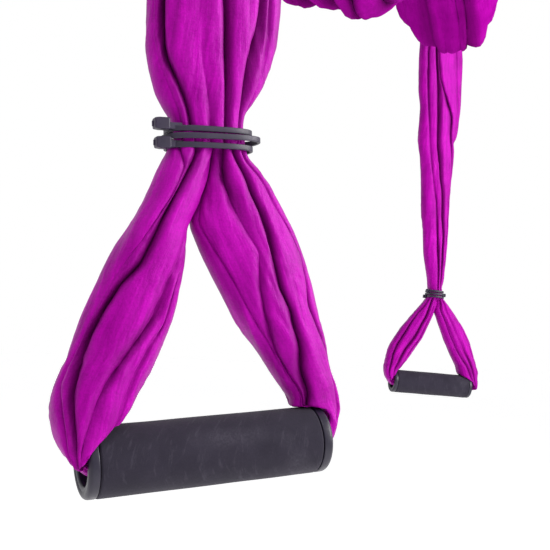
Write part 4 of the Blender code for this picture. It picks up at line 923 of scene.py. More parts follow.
FAR_STRAP_FOLDS = [
    [(-6, 1285, 1, 2, 2, 0), (-10, 1150, 2, 4, 4, 0), (-16, 920, 3.5, 5, 5, 0), (-21, 700, 4, 5, 5, .3), (-27, 560, 4, 5, 5, .5), (-25, 490, 4, 4, 4, .5),
     (-20, 430, 3, 4, 4, .3), (-17, 385, 2, 4, 4, 0), (-10, 330, 1.6, 4, 4, 0), (-3, 290, 2.6, 3, 3, .3), (-0.6, 260, 4.6, 3, 3, .9),
     (1.8, 225, 5.5, 3, 3, 1), (3.6, 190, 5.5, 2.5, 2.5, .8), (3.0, 165, 4, 2, 2, 0), (1.0, 139, 3, 2, 2, 0)],
    [(0, 1285, 1, 2, 2, 0), (-2, 1150, 4, 5, 5, -.6), (-4, 920, 6, 6, 6, -1), (-8, 700, 8, 6, 7, -1.0), (-13, 600, 10.5, 6, 8, -0.9),
     (-12.6, 552.9, 11.5, 6, 8, -0.9), (-7.4, 492.4, 11.5, 6, 8, -1.1), (-5.0, 429.1, 10.5, 5, 8, -1.4), (-4.6, 385.2, 9, 4, 7, -1.6), (0, 357.9, 9, 4, 7, -1.6),
     (2.2, 325.1, 9, 4, 7, -1.6), (5.4, 314.2, 8, 4, 6, -1.5), (7.0, 298, 8, 4, 6, -1.4), (7.2, 270.6, 8, 4, 6, -1.3),
     (10.8, 238.1, 6.5, 3.5, 4, -1), (9.4, 181.8, 5.5, 3, 3, -.6), (7, 156, 3.5, 2, 2, 0), (6, 139, 3, 2, 2, 0)],
    [(6, 1285, 1, 2, 2, 0), (8, 1150, 3, 4, 4, .6), (10, 920, 5, 6, 4, 1), (4, 700, 6, 6, 4, 1.1), (-6, 600, 6.5, 5, 4, 1.4), (-9.5, 552, 6.5, 4, 3, 1.8),
     (-2.3, 495.6, 6, 6, 3, 2.0), (12.2, 458.2, 6, 8, 3, 2.0), (22, 436.9, 5.5, 8, 3, 1.8), (20.5, 405, 4.6, 7, 3, 1.4), (23.6, 386, 3.6, 6, 2.4, .8),
     (24.5, 350, 2.4, 5, 2, .3), (21.4, 300, 2.2, 5, 2, 0), (18.6, 240, 2, 4, 2, 0), (16, 200, 1.6, 3, 2, 0), (12, 160, 1.2, 2, 2, 0), (11, 139, 1, 2, 2, 0)],
    [(9, 1285, .5, 2, 2, 0), (16, 1150, 1, 4, 4, 0), (22, 920, 2.5, 4, 4, 0), (24, 700, 3, 4, 4, .4), (24, 600, 3, 4, 4, .5), (26, 552, 2.6, 4, 4, .5),
     (28, 500, 2.0, 4, 4, 0), (33, 450, 1.4, 3, 3, 0), (31, 410, 1, 3, 3, 0), (27.5, 385, .8, 2, 2, 0), (26.6, 350, .8, 2, 2, 0), (23.4, 300, .8, 2, 2, 0),
     (21, 240, .8, 2, 2, 0), (18, 190, .8, 2, 2, 0), (14, 139, .8, 1.5, 1.5, 0)],
]


def strap(name, x, turn, degrees, rows, folds, seed, rows_n, columns):
    """The long gathered strap, from over the carabiner bar to inside the cable ties."""
    table = [(z, l, r, d, s) for z, l, r, d, s in rows]
    t = np.array(table, float)
    # finer rows low down, where the folds are tightest, and over the bar
    z_low, z_mid, z_top = t[-1, 0], 430.0 if turn > 0 else 600.0, t[0, 0]
    low_n = int(rows_n * 0.52)
    over = z_top - 0.040 * 1000
    z = np.concatenate([np.linspace(z_top, over, 20, endpoint=False), np.linspace(over, z_mid, rows_n - low_n - 20, endpoint=False),
                        np.linspace(z_mid, z_low, low_n)])
    order = t[:, 0].argsort()
    zz = t[order, 0]

    def smooth_at(col):
        y = t[order, col]
        m = np.zeros_like(y)
        for i in range(1, len(y) - 1):
            a, b = (y[i] - y[i - 1]) / (zz[i] - zz[i - 1]), (y[i + 1] - y[i]) / (zz[i + 1] - zz[i])
            m[i] = 0 if a * b <= 0 else 2 * a * b / (a + b)
        k = np.clip(np.searchsorted(zz, z, side="right") - 1, 0, len(zz) - 2)
        h = zz[k + 1] - zz[k]
        u = (z - zz[k]) / h
        return ((2 * u ** 3 - 3 * u ** 2 + 1) * y[k] + (u ** 3 - 2 * u ** 2 + u) * h * m[k]
                + (-2 * u ** 3 + 3 * u ** 2) * y[k + 1] + (u ** 3 - u ** 2) * h * m[k + 1])

    left, right, deep, share = (smooth_at(c) for c in (1, 2, 3, 4))
    # the wrinkles add to the width, so the edges of the table come in a little
    left, right = left + 1.3 * smoothstep(190, 240, z) * smoothstep(1290, 1200, z), right - 1.6 * smoothstep(190, 240, z) * smoothstep(1290, 1200, z)
    # the edges wander a little, as hanging cloth does
    wander = smoothstep(1290, 1150, z) * smoothstep(160, 330, z)
    left = left + wander * 1.6 * noise(z / 46, 0.3, 0.0, seed + 20)
    right = right + wander * 1.6 * noise(z / 52, 4.3, 0.0, seed + 21)
    turning = math.radians(degrees) * share
    e = np.stack([np.cos(turning), np.sin(turning), 0 * turning], axis=1)
    n = np.cross(e, UP)
    C = np.stack([np.full_like(z, x), 0 * z, -HANDLE_DROP + z / 1000], axis=1) + e * ((left + right) / 2000)[:, None]
    sw = Sweep(C, e, n, (right - left) / 2000, deep / 1000, deep / 1000, 2.5)
    for f in folds:
        f = np.array(f, float)
        cols = read_knots(f[:, [0, 2, 3, 4, 5]], f[:, 1], z)
        fr = (cols[0] - (left + right) / 2) / ((right - left) / 2)
        mm = [c / 1000 for c in cols[1:]]
        sw.fold(sw.angle_of(np.clip(fr, -0.97, 0.97)), mm[0], mm[1], mm[2], mm[3], 0.0, 0.3)
    rng = np.random.default_rng(seed)
    calm = smoothstep(1295, 1200, z) * smoothstep(170, 215, z)
    if turn < 0:
        calm = smoothstep(1295, 1200, z) * smoothstep(150, 200, z)
    for k, deg in enumerate((-166, -150, -133, -114, 112, 132, 150, 166)):
        wob = 4 * noise(z / 210, k * 3.1, seed * 0.7, 5)
        dep = (0.0060 + 0.0045 * rng.random()) * (0.8 + 0.5 * noise(z / 230, k * 1.7, seed, 8)) * (0.30 + 0.70 * calm)
        lap = (0.0014 if k % 2 else -0.0014) * calm
        sw.fold(np.radians(deg + wob * calm), np.maximum(dep, 0.0005), 0.0050, 0.0050, lap, 0.0008 * calm, 0.3)
    for f in sw.folds:                # shallow where the cloth bends over the bar
        f[1] = np.minimum(f[1], 0.14 * deep / 1000 + (0.7 * deep / 1000) * (1 - smoothstep(1190, 1265, z)))
    sw.build(columns, tail=np.minimum(0.009, 0.15 * deep / 1000 + 0.010 * (1 - smoothstep(1190, 1265, z))))
    fade = 0.10 + 0.90 * calm
    sw.wrinkle(seed, undulate=1.0, long=0.95, crumple=0.7, fine=0.22, fade=fade, length=1.25)
    # an eye for the carabiner bar: the cloth opens round it
    dy, dz = sw.P[..., 1], sw.P[..., 2] - BODY_BOTTOM
    r = np.hypot(dy, dz)
    inside = r < 0.0063
    k = np.where(inside, 0.0063 / np.maximum(r, 1e-6), 1.0)
    sw.P[..., 1] = dy * k
    sw.P[..., 2] = dz * k + BODY_BOTTOM
    return sw, inside


# ---------------------------------------------------------------- sling
# Sections down the cloth: inner (x, z), outer (x, z), middle y, half width, trough, in metres.
# Heights are above the grip axis. The outer side is the underside of the sling.
SLING = [
    (0.0780, 1.082, 0.0280, 1.074, 0.000, 0.032, 0.000), (0.1060, 0.955, 0.0420, 0.940, 0.003, 0.041, 0.000),
    (0.1400, 0.830, 0.0600, 0.800, 0.006, 0.050, 0.006), (0.1800, 0.725, 0.0870, 0.667, 0.010, 0.059, 0.016),
    (0.2260, 0.650, 0.1330, 0.564, 0.014, 0.068, 0.026), (0.2880, 0.592, 0.2130, 0.488, 0.018, 0.076, 0.036),
    (0.3620, 0.550, 0.3210, 0.434, 0.024, 0.082, 0.042), (0.4360, 0.528, 0.4180, 0.404, 0.031, 0.080, 0.044),
    (0.5060, 0.523, 0.5050, 0.400, 0.034, 0.077, 0.042), (0.5620, 0.537, 0.5700, 0.424, 0.032, 0.075, 0.038),
    (0.6200, 0.563, 0.6320, 0.468, 0.0235, 0.0765, 0.032), (0.6820, 0.602, 0.6990, 0.514, 0.014, 0.076, 0.026),
    (0.7480, 0.640, 0.7670, 0.556, 0.004, 0.073, 0.024), (0.8160, 0.662, 0.8350, 0.576, -0.006, 0.071, 0.022),
    (0.8680, 0.674, 0.8930, 0.572, -0.016, 0.071, 0.022), (0.9060, 0.684, 0.9430, 0.546, -0.021, 0.076, 0.022),
    (0.9340, 0.696, 0.9890, 0.513, -0.024, 0.079, 0.020), (0.9560, 0.714, 1.0290, 0.512, -0.024, 0.078, 0.016),
    (0.9720, 0.744, 1.0550, 0.550, -0.026, 0.068, 0.012), (0.9820, 0.790, 1.0630, 0.630, -0.022, 0.060, 0.008),
    (0.9900, 0.850, 1.0650, 0.740, -0.016, 0.052, 0.004), (1.0020, 0.930, 1.0660, 0.880, -0.010, 0.044, 0.000),
    (1.0200, 1.020, 1.0690, 1.000, -0.004, 0.036, 0.000), (1.0360, 1.082, 1.0770, 1.074, 0.000, 0.030, 0.000),
]
END_TOP, END_LEAN = (0.034, 1.195), (0.1514, -0.9885)
END_HALF = (0.0178, 0.0238)
# Pleats of the sling by their angle: 0 is the underside, -90 and 90 the edges, 180 the trough.
PLEATS = (-171, -160, -148, -136, -123, -109, -94, -77, -56, -33, -11, 9, 31, 54, 75, 92, 108, 122, 135, 147, 159, 170)


def sling(rows_n=228, columns=9):
    """The sling cloth: one sheet, pleated lengthwise, bound at both ends."""
    def end(s, centre_x, turn, wide):
        x = centre_x + turn * (END_TOP[0] + END_LEAN[0] * s)
        z = END_TOP[1] + END_LEAN[1] * s
        ix, iz = turn * 0.9885 * END_HALF[0] * wide, 0.1514 * END_HALF[0] * wide
        return (x + ix, z + iz, x - ix, z - iz, 0.0, END_HALF[1] * min(wide, 1.0), 0.0)

    steps = ((-0.0070, 1.08), (-0.0030, 0.98), (0.0, 0.97), (0.012, 0.97), (0.024, 0.97), (0.033, 0.99), (0.052, 1.15))
    table = [end(s, 0.0, 1, w) for s, w in steps] + list(SLING) + [end(s, HANG_SPAN, -1, w) for s, w in reversed(steps)]
    dense = catmull(table, 1600)
    # rows lie closer together where the cloth bends most
    step = np.linalg.norm(np.diff(dense[:, :4].reshape(-1, 2, 2).mean(axis=1), axis=0), axis=1)
    x_mid, z_mid = dense[:, [0, 2]].mean(axis=1), dense[:, [1, 3]].mean(axis=1)
    weight = 1.0 + 1.3 * smoothstep(0.36, 0.44, x_mid) * smoothstep(0.86, 0.70, z_mid)
    s_at = np.concatenate([[0], np.cumsum(step * 0.5 * (weight[1:] + weight[:-1]))])
    want = np.linspace(0, s_at[-1], rows_n)
    m = np.stack([np.interp(want, s_at, dense[:, c]) for c in range(7)], axis=1)
    inner = np.stack([m[:, 0], m[:, 4], m[:, 1] - HANDLE_DROP], axis=1)
    outer = np.stack([m[:, 2], m[:, 4], m[:, 3] - HANDLE_DROP], axis=1)
    C = (inner + outer) / 2
    half = np.linalg.norm(outer - inner, axis=1) / 2
    N = (outer - inner) / (2 * half)[:, None]
    W = np.broadcast_to(np.array([0.0, 1.0, 0.0]), C.shape)
    x = m[:, 2]
    power = 2.3 - 0.25 * np.exp(-((x - 0.52) / 0.13) ** 2) - 0.45 * np.exp(-((x - 1.02) / 0.06) ** 2)
    # dark here and tone below set how deep a fold must be for its full painted shade
    sw = Sweep(C, W, N, m[:, 5], half, half, power, dark=0.016)
    v = sw.V / sw.V[-1]
    rng = np.random.default_rng(77)
    size = np.sqrt(m[:, 5] * half)
    bound = np.minimum(smoothstep(0.02, 0.09, v), 1 - smoothstep(0.91, 0.98, v))
    bunch = smoothstep(0.80, 0.90, x) * (1 - smoothstep(1.046, 1.064, x))
    low = np.exp(-((x - 0.50) / 0.10) ** 2)
    for k, deg in enumerate(PLEATS):
        front = abs(deg) < 90
        wob = (7.5 if front else 4.0) * noise(v * 5.5, k * 3.1, 0.4, 31) * (0.25 + 0.75 * bound)
        at = deg + wob
        depth = size * ((0.42 if front else 0.52) + 0.14 * rng.random()) * (1 + 0.32 * noise(v * 6.0, k * 1.9, 1.4, 33))
        wide = size * (0.085 + 0.05 * rng.random()) * (1 + 0.35 * noise(v * 4.0, k * 2.3, 2.4, 35))
        if front:                 # broad and shallow in the two places where the cloth bends
            depth = depth * (1 - 0.94 * bunch) * (1 - 0.55 * low)
            wide = wide * (1 + 0.9 * bunch + 0.8 * low)
        if deg == -33:
            at = at * (1 - bunch) + (-27) * bunch
            depth = depth + 0.008 * bunch
            wide = wide + 0.0030 * bunch
        if deg == 31:
            at = at * (1 - bunch) + 16 * bunch
            depth = depth + 0.007 * bunch
        if deg == 9:
            at = at * (1 - bunch) + 0.0 * bunch
            depth = depth + 0.014 * low
            wide = wide + 0.0030 * low
        lap = (0.0025 if k % 2 else -0.0022) * (0.4 + 0.6 * rng.random()) * bound * (size / 0.06)
        sw.fold(np.radians(at), depth, wide, wide * 1.15, lap, 0.0015 * bound, 0.30)
    sw.build(columns, tail=0.42 * size, groove=m[:, 6])
    # uneven sag of the underside: one lobe drawn up, the cloth beside it hanging lower
    y = sw.P[..., 1]
    under = smoothstep(-0.2, 0.5, np.cos(sw.phi))
    rise = 0.013 * np.exp(-((y - 0.062) / 0.021) ** 2) - 0.007 * smoothstep(0.076, 0.094, y) + 0.011 * smoothstep(0.0, -0.030, y)
    rise = rise - 0.0025 * np.exp(-((y - 0.024) / 0.010) ** 2)
    drop = 0.016 * np.exp(-((y + 0.074) / 0.023) ** 2)
    sw.P[..., 2] += under * (low[:, None] * rise - bunch[:, None] * drop)
    ends = np.minimum(smoothstep(0.0, 0.06, v), 1 - smoothstep(0.94, 1.0, v))
    sw.wrinkle(83, undulate=2.2, long=1.7, crumple=1.5, fine=0.3, fade=0.04 + 0.96 * ends, length=1.6)
    obj = sw.mesh("sling_sheet", NYLON_SLING_SHADED, thick=0.0003, tone=0.014)
    return obj, sw


# ---------------------------------------------------------------- carabiners
def tube(name, rings, mat):
    """A closed skin over rings of points, with flat ends."""
    R, K = len(rings), len(rings[0])
    faces = [tuple(f) for f in grid_faces(R, K, wrap=True)]
    faces += [tuple(range(K)), tuple((R - 1) * K + c for c in reversed(range(K)))]
    obj = put(name, np.asarray(rings).reshape(-1, 3), faces, mat)
    bm = bmesh.new()
    bm.from_mesh(obj.data)
    bmesh.ops.recalc_face_normals(bm, faces=bm.faces[:])
    bm.to_mesh(obj.data)
    bm.free()
    return obj


def disc(centre, a, b, radius, facets, phase=0.0):
    t = np.linspace(0, 2 * math.pi, facets, endpoint=False) + phase
    return centre + np.outer(np.cos(t) * radius, a) + np.outer(np.sin(t) * radius, b)


def block(name, centre, axes, size):
    """A box cutter with its axes along three directions."""
    c = [centre + sum(ax * s * h / 2 for ax, s, h in zip(axes, signs, size))
         for signs in ((-1, -1, -1), (1, -1, -1), (1, 1, -1), (-1, 1, -1), (-1, -1, 1), (1, -1, 1), (1, 1, 1), (-1, 1, 1))]
    return put(name, c, [(0, 3, 2, 1), (4, 5, 6, 7), (0, 1, 5, 4), (1, 2, 6, 5), (2, 3, 7, 6), (3, 0, 4, 7)], STEEL, smooth=False)


def cut(obj, tools):
    """Joins or cuts the object with each tool, and takes the tools away again."""
    for tool, how in tools:
        bm = bmesh.new()
        bm.from_mesh(tool.data)
        bmesh.ops.recalc_face_normals(bm, faces=bm.faces[:])
        bm.to_mesh(tool.data)
        bm.free()
        mod = obj.modifiers.new("shape", "BOOLEAN")
        mod.operation = how
        mod.solver = "EXACT"
        mod.object = tool
    bpy.context.view_layer.update()
    seen = obj.evaluated_get(bpy.context.evaluated_depsgraph_get())
    mesh = bpy.data.meshes.new_from_object(seen)
    obj.modifiers.clear()
    obj.data = mesh
    for tool, _ in tools:
        bpy.data.objects.remove(tool, do_unlink=True)
    mesh.materials.clear()
    mesh.materials.append(STEEL)
    mesh.polygons.foreach_set("material_index", np.zeros(len(mesh.polygons), np.int32))
    mesh.shade_smooth()
    mesh.set_sharp_from_angle(angle=math.radians(38))


def carabiner(tag, centre_x, turn):
    """The bar, the gate and the knurled sleeve of one screw-lock carabiner, finely made."""
    at = lambda x, z: np.array([centre_x + turn * x, 0.0, z])
    hinge, nose_c = at(-BASKET_HALF, BODY_BOTTOM), at(-CROWN_HALF, BODY_TOP)
    low, top = at(BASKET_HALF, BODY_BOTTOM), at(CROWN_HALF, BODY_TOP)
    side = (nose_c - hinge) / np.linalg.norm(nose_c - hinge)
    across = np.array([0.0, 1.0, 0.0])
    inward = np.cross(across, side)
    if inward @ (at(0, 0) - at(-1, 0)) < 0:
        inward = -inward
    pin, nose = hinge + side * PIN_AT, hinge + side * NOSE_AT

    def round_corner(c, a, b, radius, steps=14):
        ua, ub = (a - c) / np.linalg.norm(a - c), (b - c) / np.linalg.norm(b - c)
        half = math.acos(float(ua @ ub)) / 2
        mid = (ua + ub) / np.linalg.norm(ua + ub)
        o = c + mid * (radius / math.sin(half))
        v0, v1 = c + ua * (radius / math.tan(half)) - o, c + ub * (radius / math.tan(half)) - o
        w = math.acos(float(v0 @ v1) / radius ** 2)
        return [o + (v0 * math.sin(w * (1 - k / steps)) + v1 * math.sin(w * k / steps)) / math.sin(w) for k in range(steps + 1)]

    line = [(nose, 0.0039), (nose + side * 0.0006, 0.0045), (nose + side * 0.0075, 0.0045), (nose + side * 0.0083, ROD_R)]
    for c, a, b, r in ((nose_c, hinge, top, 0.015), (top, nose_c, low, 0.015), (low, top, hinge, 0.012), (hinge, low, nose_c, 0.012)):
        line += [(p, ROD_R) for p in round_corner(c, a, b, r)]
    line.append((pin, ROD_R))
    rings = []
    for i, (p, r) in enumerate(line):
        along = line[min(i + 1, len(line) - 1)][0] - line[max(i - 1, 0)][0]
        along = along / np.linalg.norm(along)
        if i <= 3 or i == len(line) - 1:
            along = side
        rings.append(disc(p, across, np.cross(along, across), r, 32))
    body = tube(f"{tag}_carabiner_bar", rings, STEEL)
    frame_axes = (across, inward, side)
    cyl = lambda nm, a, b, r, n=28: tube(f"{tag}_tool_{nm}", [disc(a, *((across, inward) if abs((b - a) @ side) > 0.9 * np.linalg.norm(b - a) else (inward, side)), r, n),
                                                            disc(b, *((across, inward) if abs((b - a) @ side) > 0.9 * np.linalg.norm(b - a) else (inward, side)), r, n)], STEEL)
    tools = [(cyl("eye", pin - across * 0.0049, pin + across * 0.0049, 0.0049), "UNION")]
    for sign in (1, -1):
        tools.append((block(f"{tag}_tool_cheek{sign}", pin + across * sign * 0.0071 + side * 0.0015, frame_axes, (0.010, 0.016, 0.0172)), "DIFFERENCE"))
    tools.append((cyl("hole", pin - across * 0.02, pin + across * 0.02, 0.0018, 24), "DIFFERENCE"))
    cut(body, tools)
    bevel(body, 0.00025, 2, 50)
    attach(body, "root")
    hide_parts(f"{tag}_carabiner_body")

    r = 0.0046
    prof = [(0.0, r), (0.0120, r), (0.0505, r), (0.0524, r), (0.0530, r - 0.0003), (0.0534, r - 0.0007)]
    gate = tube(f"{tag}_gate_tube", [disc(pin + side * a, across, inward, b, 32) for a, b in prof], STEEL)
    cut(gate, [(cyl("gate_eye", pin - across * 0.00455, pin + across * 0.00455, 0.00455), "UNION"),
               (block(f"{tag}_tool_slot", pin + side * 0.0005, frame_axes, (0.0050, 0.016, 0.0142)), "DIFFERENCE"),
               (cyl("bore", pin + side * 0.004, pin + side * 0.040, 0.0024, 24), "DIFFERENCE"),
               (cyl("hole2", pin - across * 0.02, pin + across * 0.02, 0.0018, 24), "DIFFERENCE")])
    bevel(gate, 0.00022, 2, 50)
    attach(gate, f"{tag}_gate")
    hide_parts(f"{tag}_carabiner_gate")

    # sleeve: rounded flutes between two plain collars
    s0, flutes = pin + side * 0.028, 18
    count = flutes * 8
    t = np.linspace(0, 2 * math.pi, count, endpoint=False)
    wave = 0.5 - 0.5 * np.cos(t * flutes)
    rings = []
    outer = [(0.0, -0.0006, 0.0), (0.0003, -0.0002, 0.0), (0.0008, 0.0, 0.0), (0.0022, 0.0, 0.0), (0.0027, -0.0002, 1.0), (0.0032, -0.0001, 1.0),
             (0.0188, -0.0001, 1.0), (0.0193, -0.0002, 1.0), (0.0198, 0.0, 0.0), (0.0212, 0.0, 0.0), (0.0217, -0.0002, 0.0), (0.0220, -0.0006, 0.0)]
    for a, grow, cutin in outer:
        rad = 0.0074 + grow - 0.0005 * wave * cutin
        rings.append(s0 + side * a + np.outer(np.cos(t) * rad, across) + np.outer(np.sin(t) * rad, inward))
    for a in (0.0220, 0.0):
        rings.append(s0 + side * a + np.outer(np.cos(t) * 0.0051, across) + np.outer(np.sin(t) * 0.0051, inward))
    faces = [tuple(f) for f in grid_faces(len(rings), count, wrap=True)]
    faces += [((len(rings) - 1) * count + c, (len(rings) - 1) * count + (c + 1) % count, (c + 1) % count, c) for c in range(count)]
    sleeve = put(f"{tag}_sleeve_knurled", np.asarray(rings).reshape(-1, 3), faces, SLEEVE)
    bm = bmesh.new()
    bm.from_mesh(sleeve.data)
    bmesh.ops.recalc_face_normals(bm, faces=bm.faces[:])
    bm.to_mesh(sleeve.data)
    bm.free()
    sleeve.data.shade_smooth()
    sleeve.data.set_sharp_from_angle(angle=math.radians(50))
    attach(sleeve, f"{tag}_lock")
    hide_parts(f"{tag}_lock_sleeve")


# ---------------------------------------------------------------- ends of the sling
def strip(name, line, flat, wide, thick, mat, closed=False, wave=0.0, seed=0):
    """A flat woven strip along a line: rounded edges, and selvedges a touch thicker."""
    line = np.asarray(line, float)
    if closed:
        along = np.roll(line, -1, axis=0) - np.roll(line, 1, axis=0)
        length = np.concatenate([[0], np.cumsum(np.linalg.norm(np.diff(line, axis=0), axis=1))])
    else:
        along = np.gradient(line, axis=0)
        length = np.concatenate([[0], np.cumsum(np.linalg.norm(np.diff(line, axis=0), axis=1))])
    along /= np.linalg.norm(along, axis=1)[:, None]
    flat = np.broadcast_to(np.asarray(flat, float), line.shape)
    flat = flat - along * np.sum(flat * along, axis=1)[:, None]
    flat /= np.linalg.norm(flat, axis=1)[:, None]
    face = np.cross(along, flat)
    r = thick / 2
    x = np.linspace(-1, 1, 13) * (wide / 2 - r)
    swell = 1 + 0.16 * np.exp(-((np.abs(x) - (wide / 2 - 2.6 * r)) / (1.4 * r)) ** 2)
    top = [(a, r * b) for a, b in zip(x, swell)]
    a = np.linspace(90, -90, 7)[1:-1]
    right = [(wide / 2 - r + r * math.cos(math.radians(k)), r * math.sin(math.radians(k))) for k in a]
    prof = np.array(top + right + [(p, -q) for p, q in reversed(top)] + [(-p, -q) for p, q in right])
    edge = 1 + wave * noise(length / 0.006, 0.5, 0.0, seed)
    P = line[:, None, :] + flat[:, None, :] * (prof[:, 0][None, :, None] * edge[:, None, None]) + face[:, None, :] * prof[:, 1][None, :, None]
    R, K = len(line), len(prof)
    faces = [tuple(f) for f in grid_faces(R, K, wrap=True)]
    if closed:
        faces += [((R - 1) * K + c, (R - 1) * K + (c + 1) % K, (c + 1) % K, c) for c in range(K)]
    else:
        faces += [tuple(range(K)), tuple((R - 1) * K + c for c in reversed(range(K)))]
    uv = np.stack([np.broadcast_to(prof[:, 0][None, :], (R, K)), np.broadcast_to(length[:, None], (R, K))], axis=2).reshape(-1, 2)
    obj = put(name, P.reshape(-1, 3), faces, mat, uv=uv)
    bm = bmesh.new()
    bm.from_mesh(obj.data)
    bmesh.ops.recalc_face_normals(bm, faces=bm.faces[:])
    bm.to_mesh(obj.data)
    bm.free()
    obj.data.shade_smooth()
    obj.data.set_sharp_from_angle(angle=math.radians(55))
    return obj, float(length[-1])


def stitches(name, runs, normal, mat, long=0.0030, gap=0.0008, thick=0.00032):
    """Rows of machine stitches: short rounded threads that dip into the webbing at each end."""
    normal = np.asarray(normal, float) / np.linalg.norm(normal)
    verts, faces = [], []
    ang = np.linspace(0, 2 * math.pi, 8, endpoint=False)
    for a, b in runs:
        a, b = np.asarray(a, float), np.asarray(b, float)
        run = np.linalg.norm(b - a)
        d = (b - a) / run
        side = np.cross(normal, d)
        count = max(1, int(round(run / (long + gap))))
        for k in range(count):
            mid = a + d * run * (k + 0.5) / count
            base = len(verts)
            steps = ((-0.5, -0.00030, 0.55), (-0.42, 0.00002, 0.9), (-0.2, 0.00016, 1.0), (0.0, 0.00020, 1.0),
                     (0.2, 0.00016, 1.0), (0.42, 0.00002, 0.9), (0.5, -0.00030, 0.55))
            for f, up, w in steps:
                c = mid + d * f * long + normal * up
                for t in ang:
                    verts.append(c + (side * math.cos(t) + normal * math.sin(t)) * thick * w)
            for i in range(len(steps) - 1):
                for j in range(8):
                    faces.append((base + i * 8 + j, base + i * 8 + (j + 1) % 8, base + (i + 1) * 8 + (j + 1) % 8, base + (i + 1) * 8 + j))
            faces.append(tuple(base + j for j in reversed(range(8))))
            faces.append(tuple(base + (len(steps) - 1) * 8 + j for j in range(8)))
    return put(name, verts, faces, mat)


def end_trim(tag, centre_x, turn):
    """The webbing loop over the carabiner bar, and the sewn band that binds it to the cloth."""
    start = np.array([centre_x + turn * END_TOP[0], 0.0, END_TOP[1] - HANDLE_DROP])
    lean = np.array([turn * END_LEAN[0], 0.0, END_LEAN[1]])
    bar = np.array([centre_x + turn * LOOP_OFF, 0.0, BODY_BOTTOM])
    foot, mid, thick = 0.0258, 0.0068, 0.0023
    half = [(start + lean * q, foot) for q in (0.030, 0.024, 0.018, 0.012, 0.006, 0.0)]
    knee = start - lean * 0.008
    half += [(start - lean * 0.004, foot - 0.0005), (knee, foot - 0.0012)]
    for k in range(1, 16):
        t = k / 16
        half.append((knee + (bar + np.array([0, 0, 0.001]) - knee) * t, (foot - 0.0012) * (1 - t) + mid * t + 0.002 * math.sin(math.pi * t)))
    for k in range(13):
        a = 0.5 * math.pi * k / 12
        half.append((bar + np.array([0, 0, mid * math.sin(a)]), mid * math.cos(a)))
    line = [np.array([p[0], y, p[2]]) for p, y in half]
    line += [np.array([p[0], -y, p[2]]) for p, y in reversed(half[:-1])]
    web, long = strip(f"{tag}_webbing_loop", line, (1, 0, 0), 0.020, thick, WEB, wave=0.012, seed=61)
    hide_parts(f"{tag}_end_webbing")
    # the band: two turns of thin webbing, one end lapped on the outside and sewn down
    side = np.array([0.0, 1.0, 0.0])
    cross = np.cross(side, lean)
    cross /= np.linalg.norm(cross)
    a_in, b_in = foot + 0.0018, 0.0192

    def loop(grow, count=168):
        ang = np.linspace(0, 2 * math.pi, count, endpoint=False)
        y = np.sign(np.cos(ang)) * np.abs(np.cos(ang)) ** 0.42 * (a_in + grow)
        x = np.sign(np.sin(ang)) * np.abs(np.sin(ang)) ** 0.42 * (b_in + grow)
        p = start + lean * 0.015 + side * y[:, None] + cross * x[:, None]
        # even steps round the loop
        q = np.vstack([p, p[:1]])
        s = np.concatenate([[0], np.cumsum(np.linalg.norm(np.diff(q, axis=0), axis=1))])
        at = np.linspace(0, s[-1], count, endpoint=False)
        return np.stack([np.interp(at, s, q[:, i]) for i in range(3)], axis=1), s[-1]

    path, round_ = loop(0.00070)
    band, _ = strip(f"{tag}_binding_band", path, lean, 0.026, 0.0013, WEB, closed=True, wave=0.010, seed=63)
    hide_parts(f"{tag}_end_binding")
    path, _ = loop(0.00185)
    # the lap lies on the side that faces away from the middle of the hammock
    out = cross * (1 if cross[0] * turn < 0 else -1)
    local = (path - start) @ out
    keep = [p for p in path if (p - start) @ out > b_in and abs((p - start) @ side) < 0.0135]
    keep.sort(key=lambda p: p @ side)
    lap, _ = strip(f"{tag}_binding_lap", keep, lean, 0.0252, 0.0009, WEB, wave=0.012, seed=64)
    face = start + lean * 0.015 + out * (b_in + 0.00185 + 0.00045)
    c = lambda a, b: face + side * a + lean * b
    w, h = 0.0112, 0.0100
    runs = [(c(-w, -h), c(w, -h)), (c(w, -h), c(w, h)), (c(w, h), c(-w, h)), (c(-w, h), c(-w, -h)), (c(-w, -h), c(w, h)), (c(w, -h), c(-w, h))]
    sewn = stitches(f"{tag}_binding_stitching", runs, out, THREAD)
    for o in (web, band, lap, sewn):
        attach(o, "root")


def bundle(tag, centre, axis, out, seed):
    """The cloth that runs through the bore of a grip and joins the two legs."""
    rows_n = 90
    s = np.linspace(-0.0576, 0.0576, rows_n)
    axis, out = np.asarray(axis, float), np.asarray(out, float)
    C = centre + s[:, None] * axis
    right = np.cross(axis, out)
    full = lambda v: np.broadcast_to(v, C.shape)
    radius = 0.0080 - 0.0006 * np.cos(s / 0.0576 * math.pi) * 0.5
    sw = Sweep(C, full(right), full(out), radius, radius, radius, 2.0)
    rng = np.random.default_rng(seed)
    for k in range(10):
        at = -162 + 36 * k + 9 * noise(s / 0.030, k * 2.3, 0.5, seed)
        depth = (0.0028 + 0.0014 * rng.random()) * (1 + 0.25 * noise(s / 0.022, k * 1.7, 0.0, seed + 1))
        sw.fold(np.radians(at), depth, 0.0020, 0.0022, 0.0005 if k % 2 else -0.0005, 0.0003, 0.3)
    sw.build(8, tail=0.0022)
    sw.wrinkle(seed, undulate=0.15, long=0.22, crumple=0.22, fine=0.10)
    rel = sw.P - centre
    along = rel @ axis
    off = rel - along[..., None] * axis
    r = np.linalg.norm(off, axis=2)
    k = np.where(r > 0.0087, 0.0087 / np.maximum(r, 1e-6), 1.0)
    sw.P = centre + along[..., None] * axis + off * k[..., None]
    obj = sw.mesh(f"{tag}_bundle_cloth", NYLON)
    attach(obj, f"{tag}_loop")
    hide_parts(f"{tag}_inner_cloth")


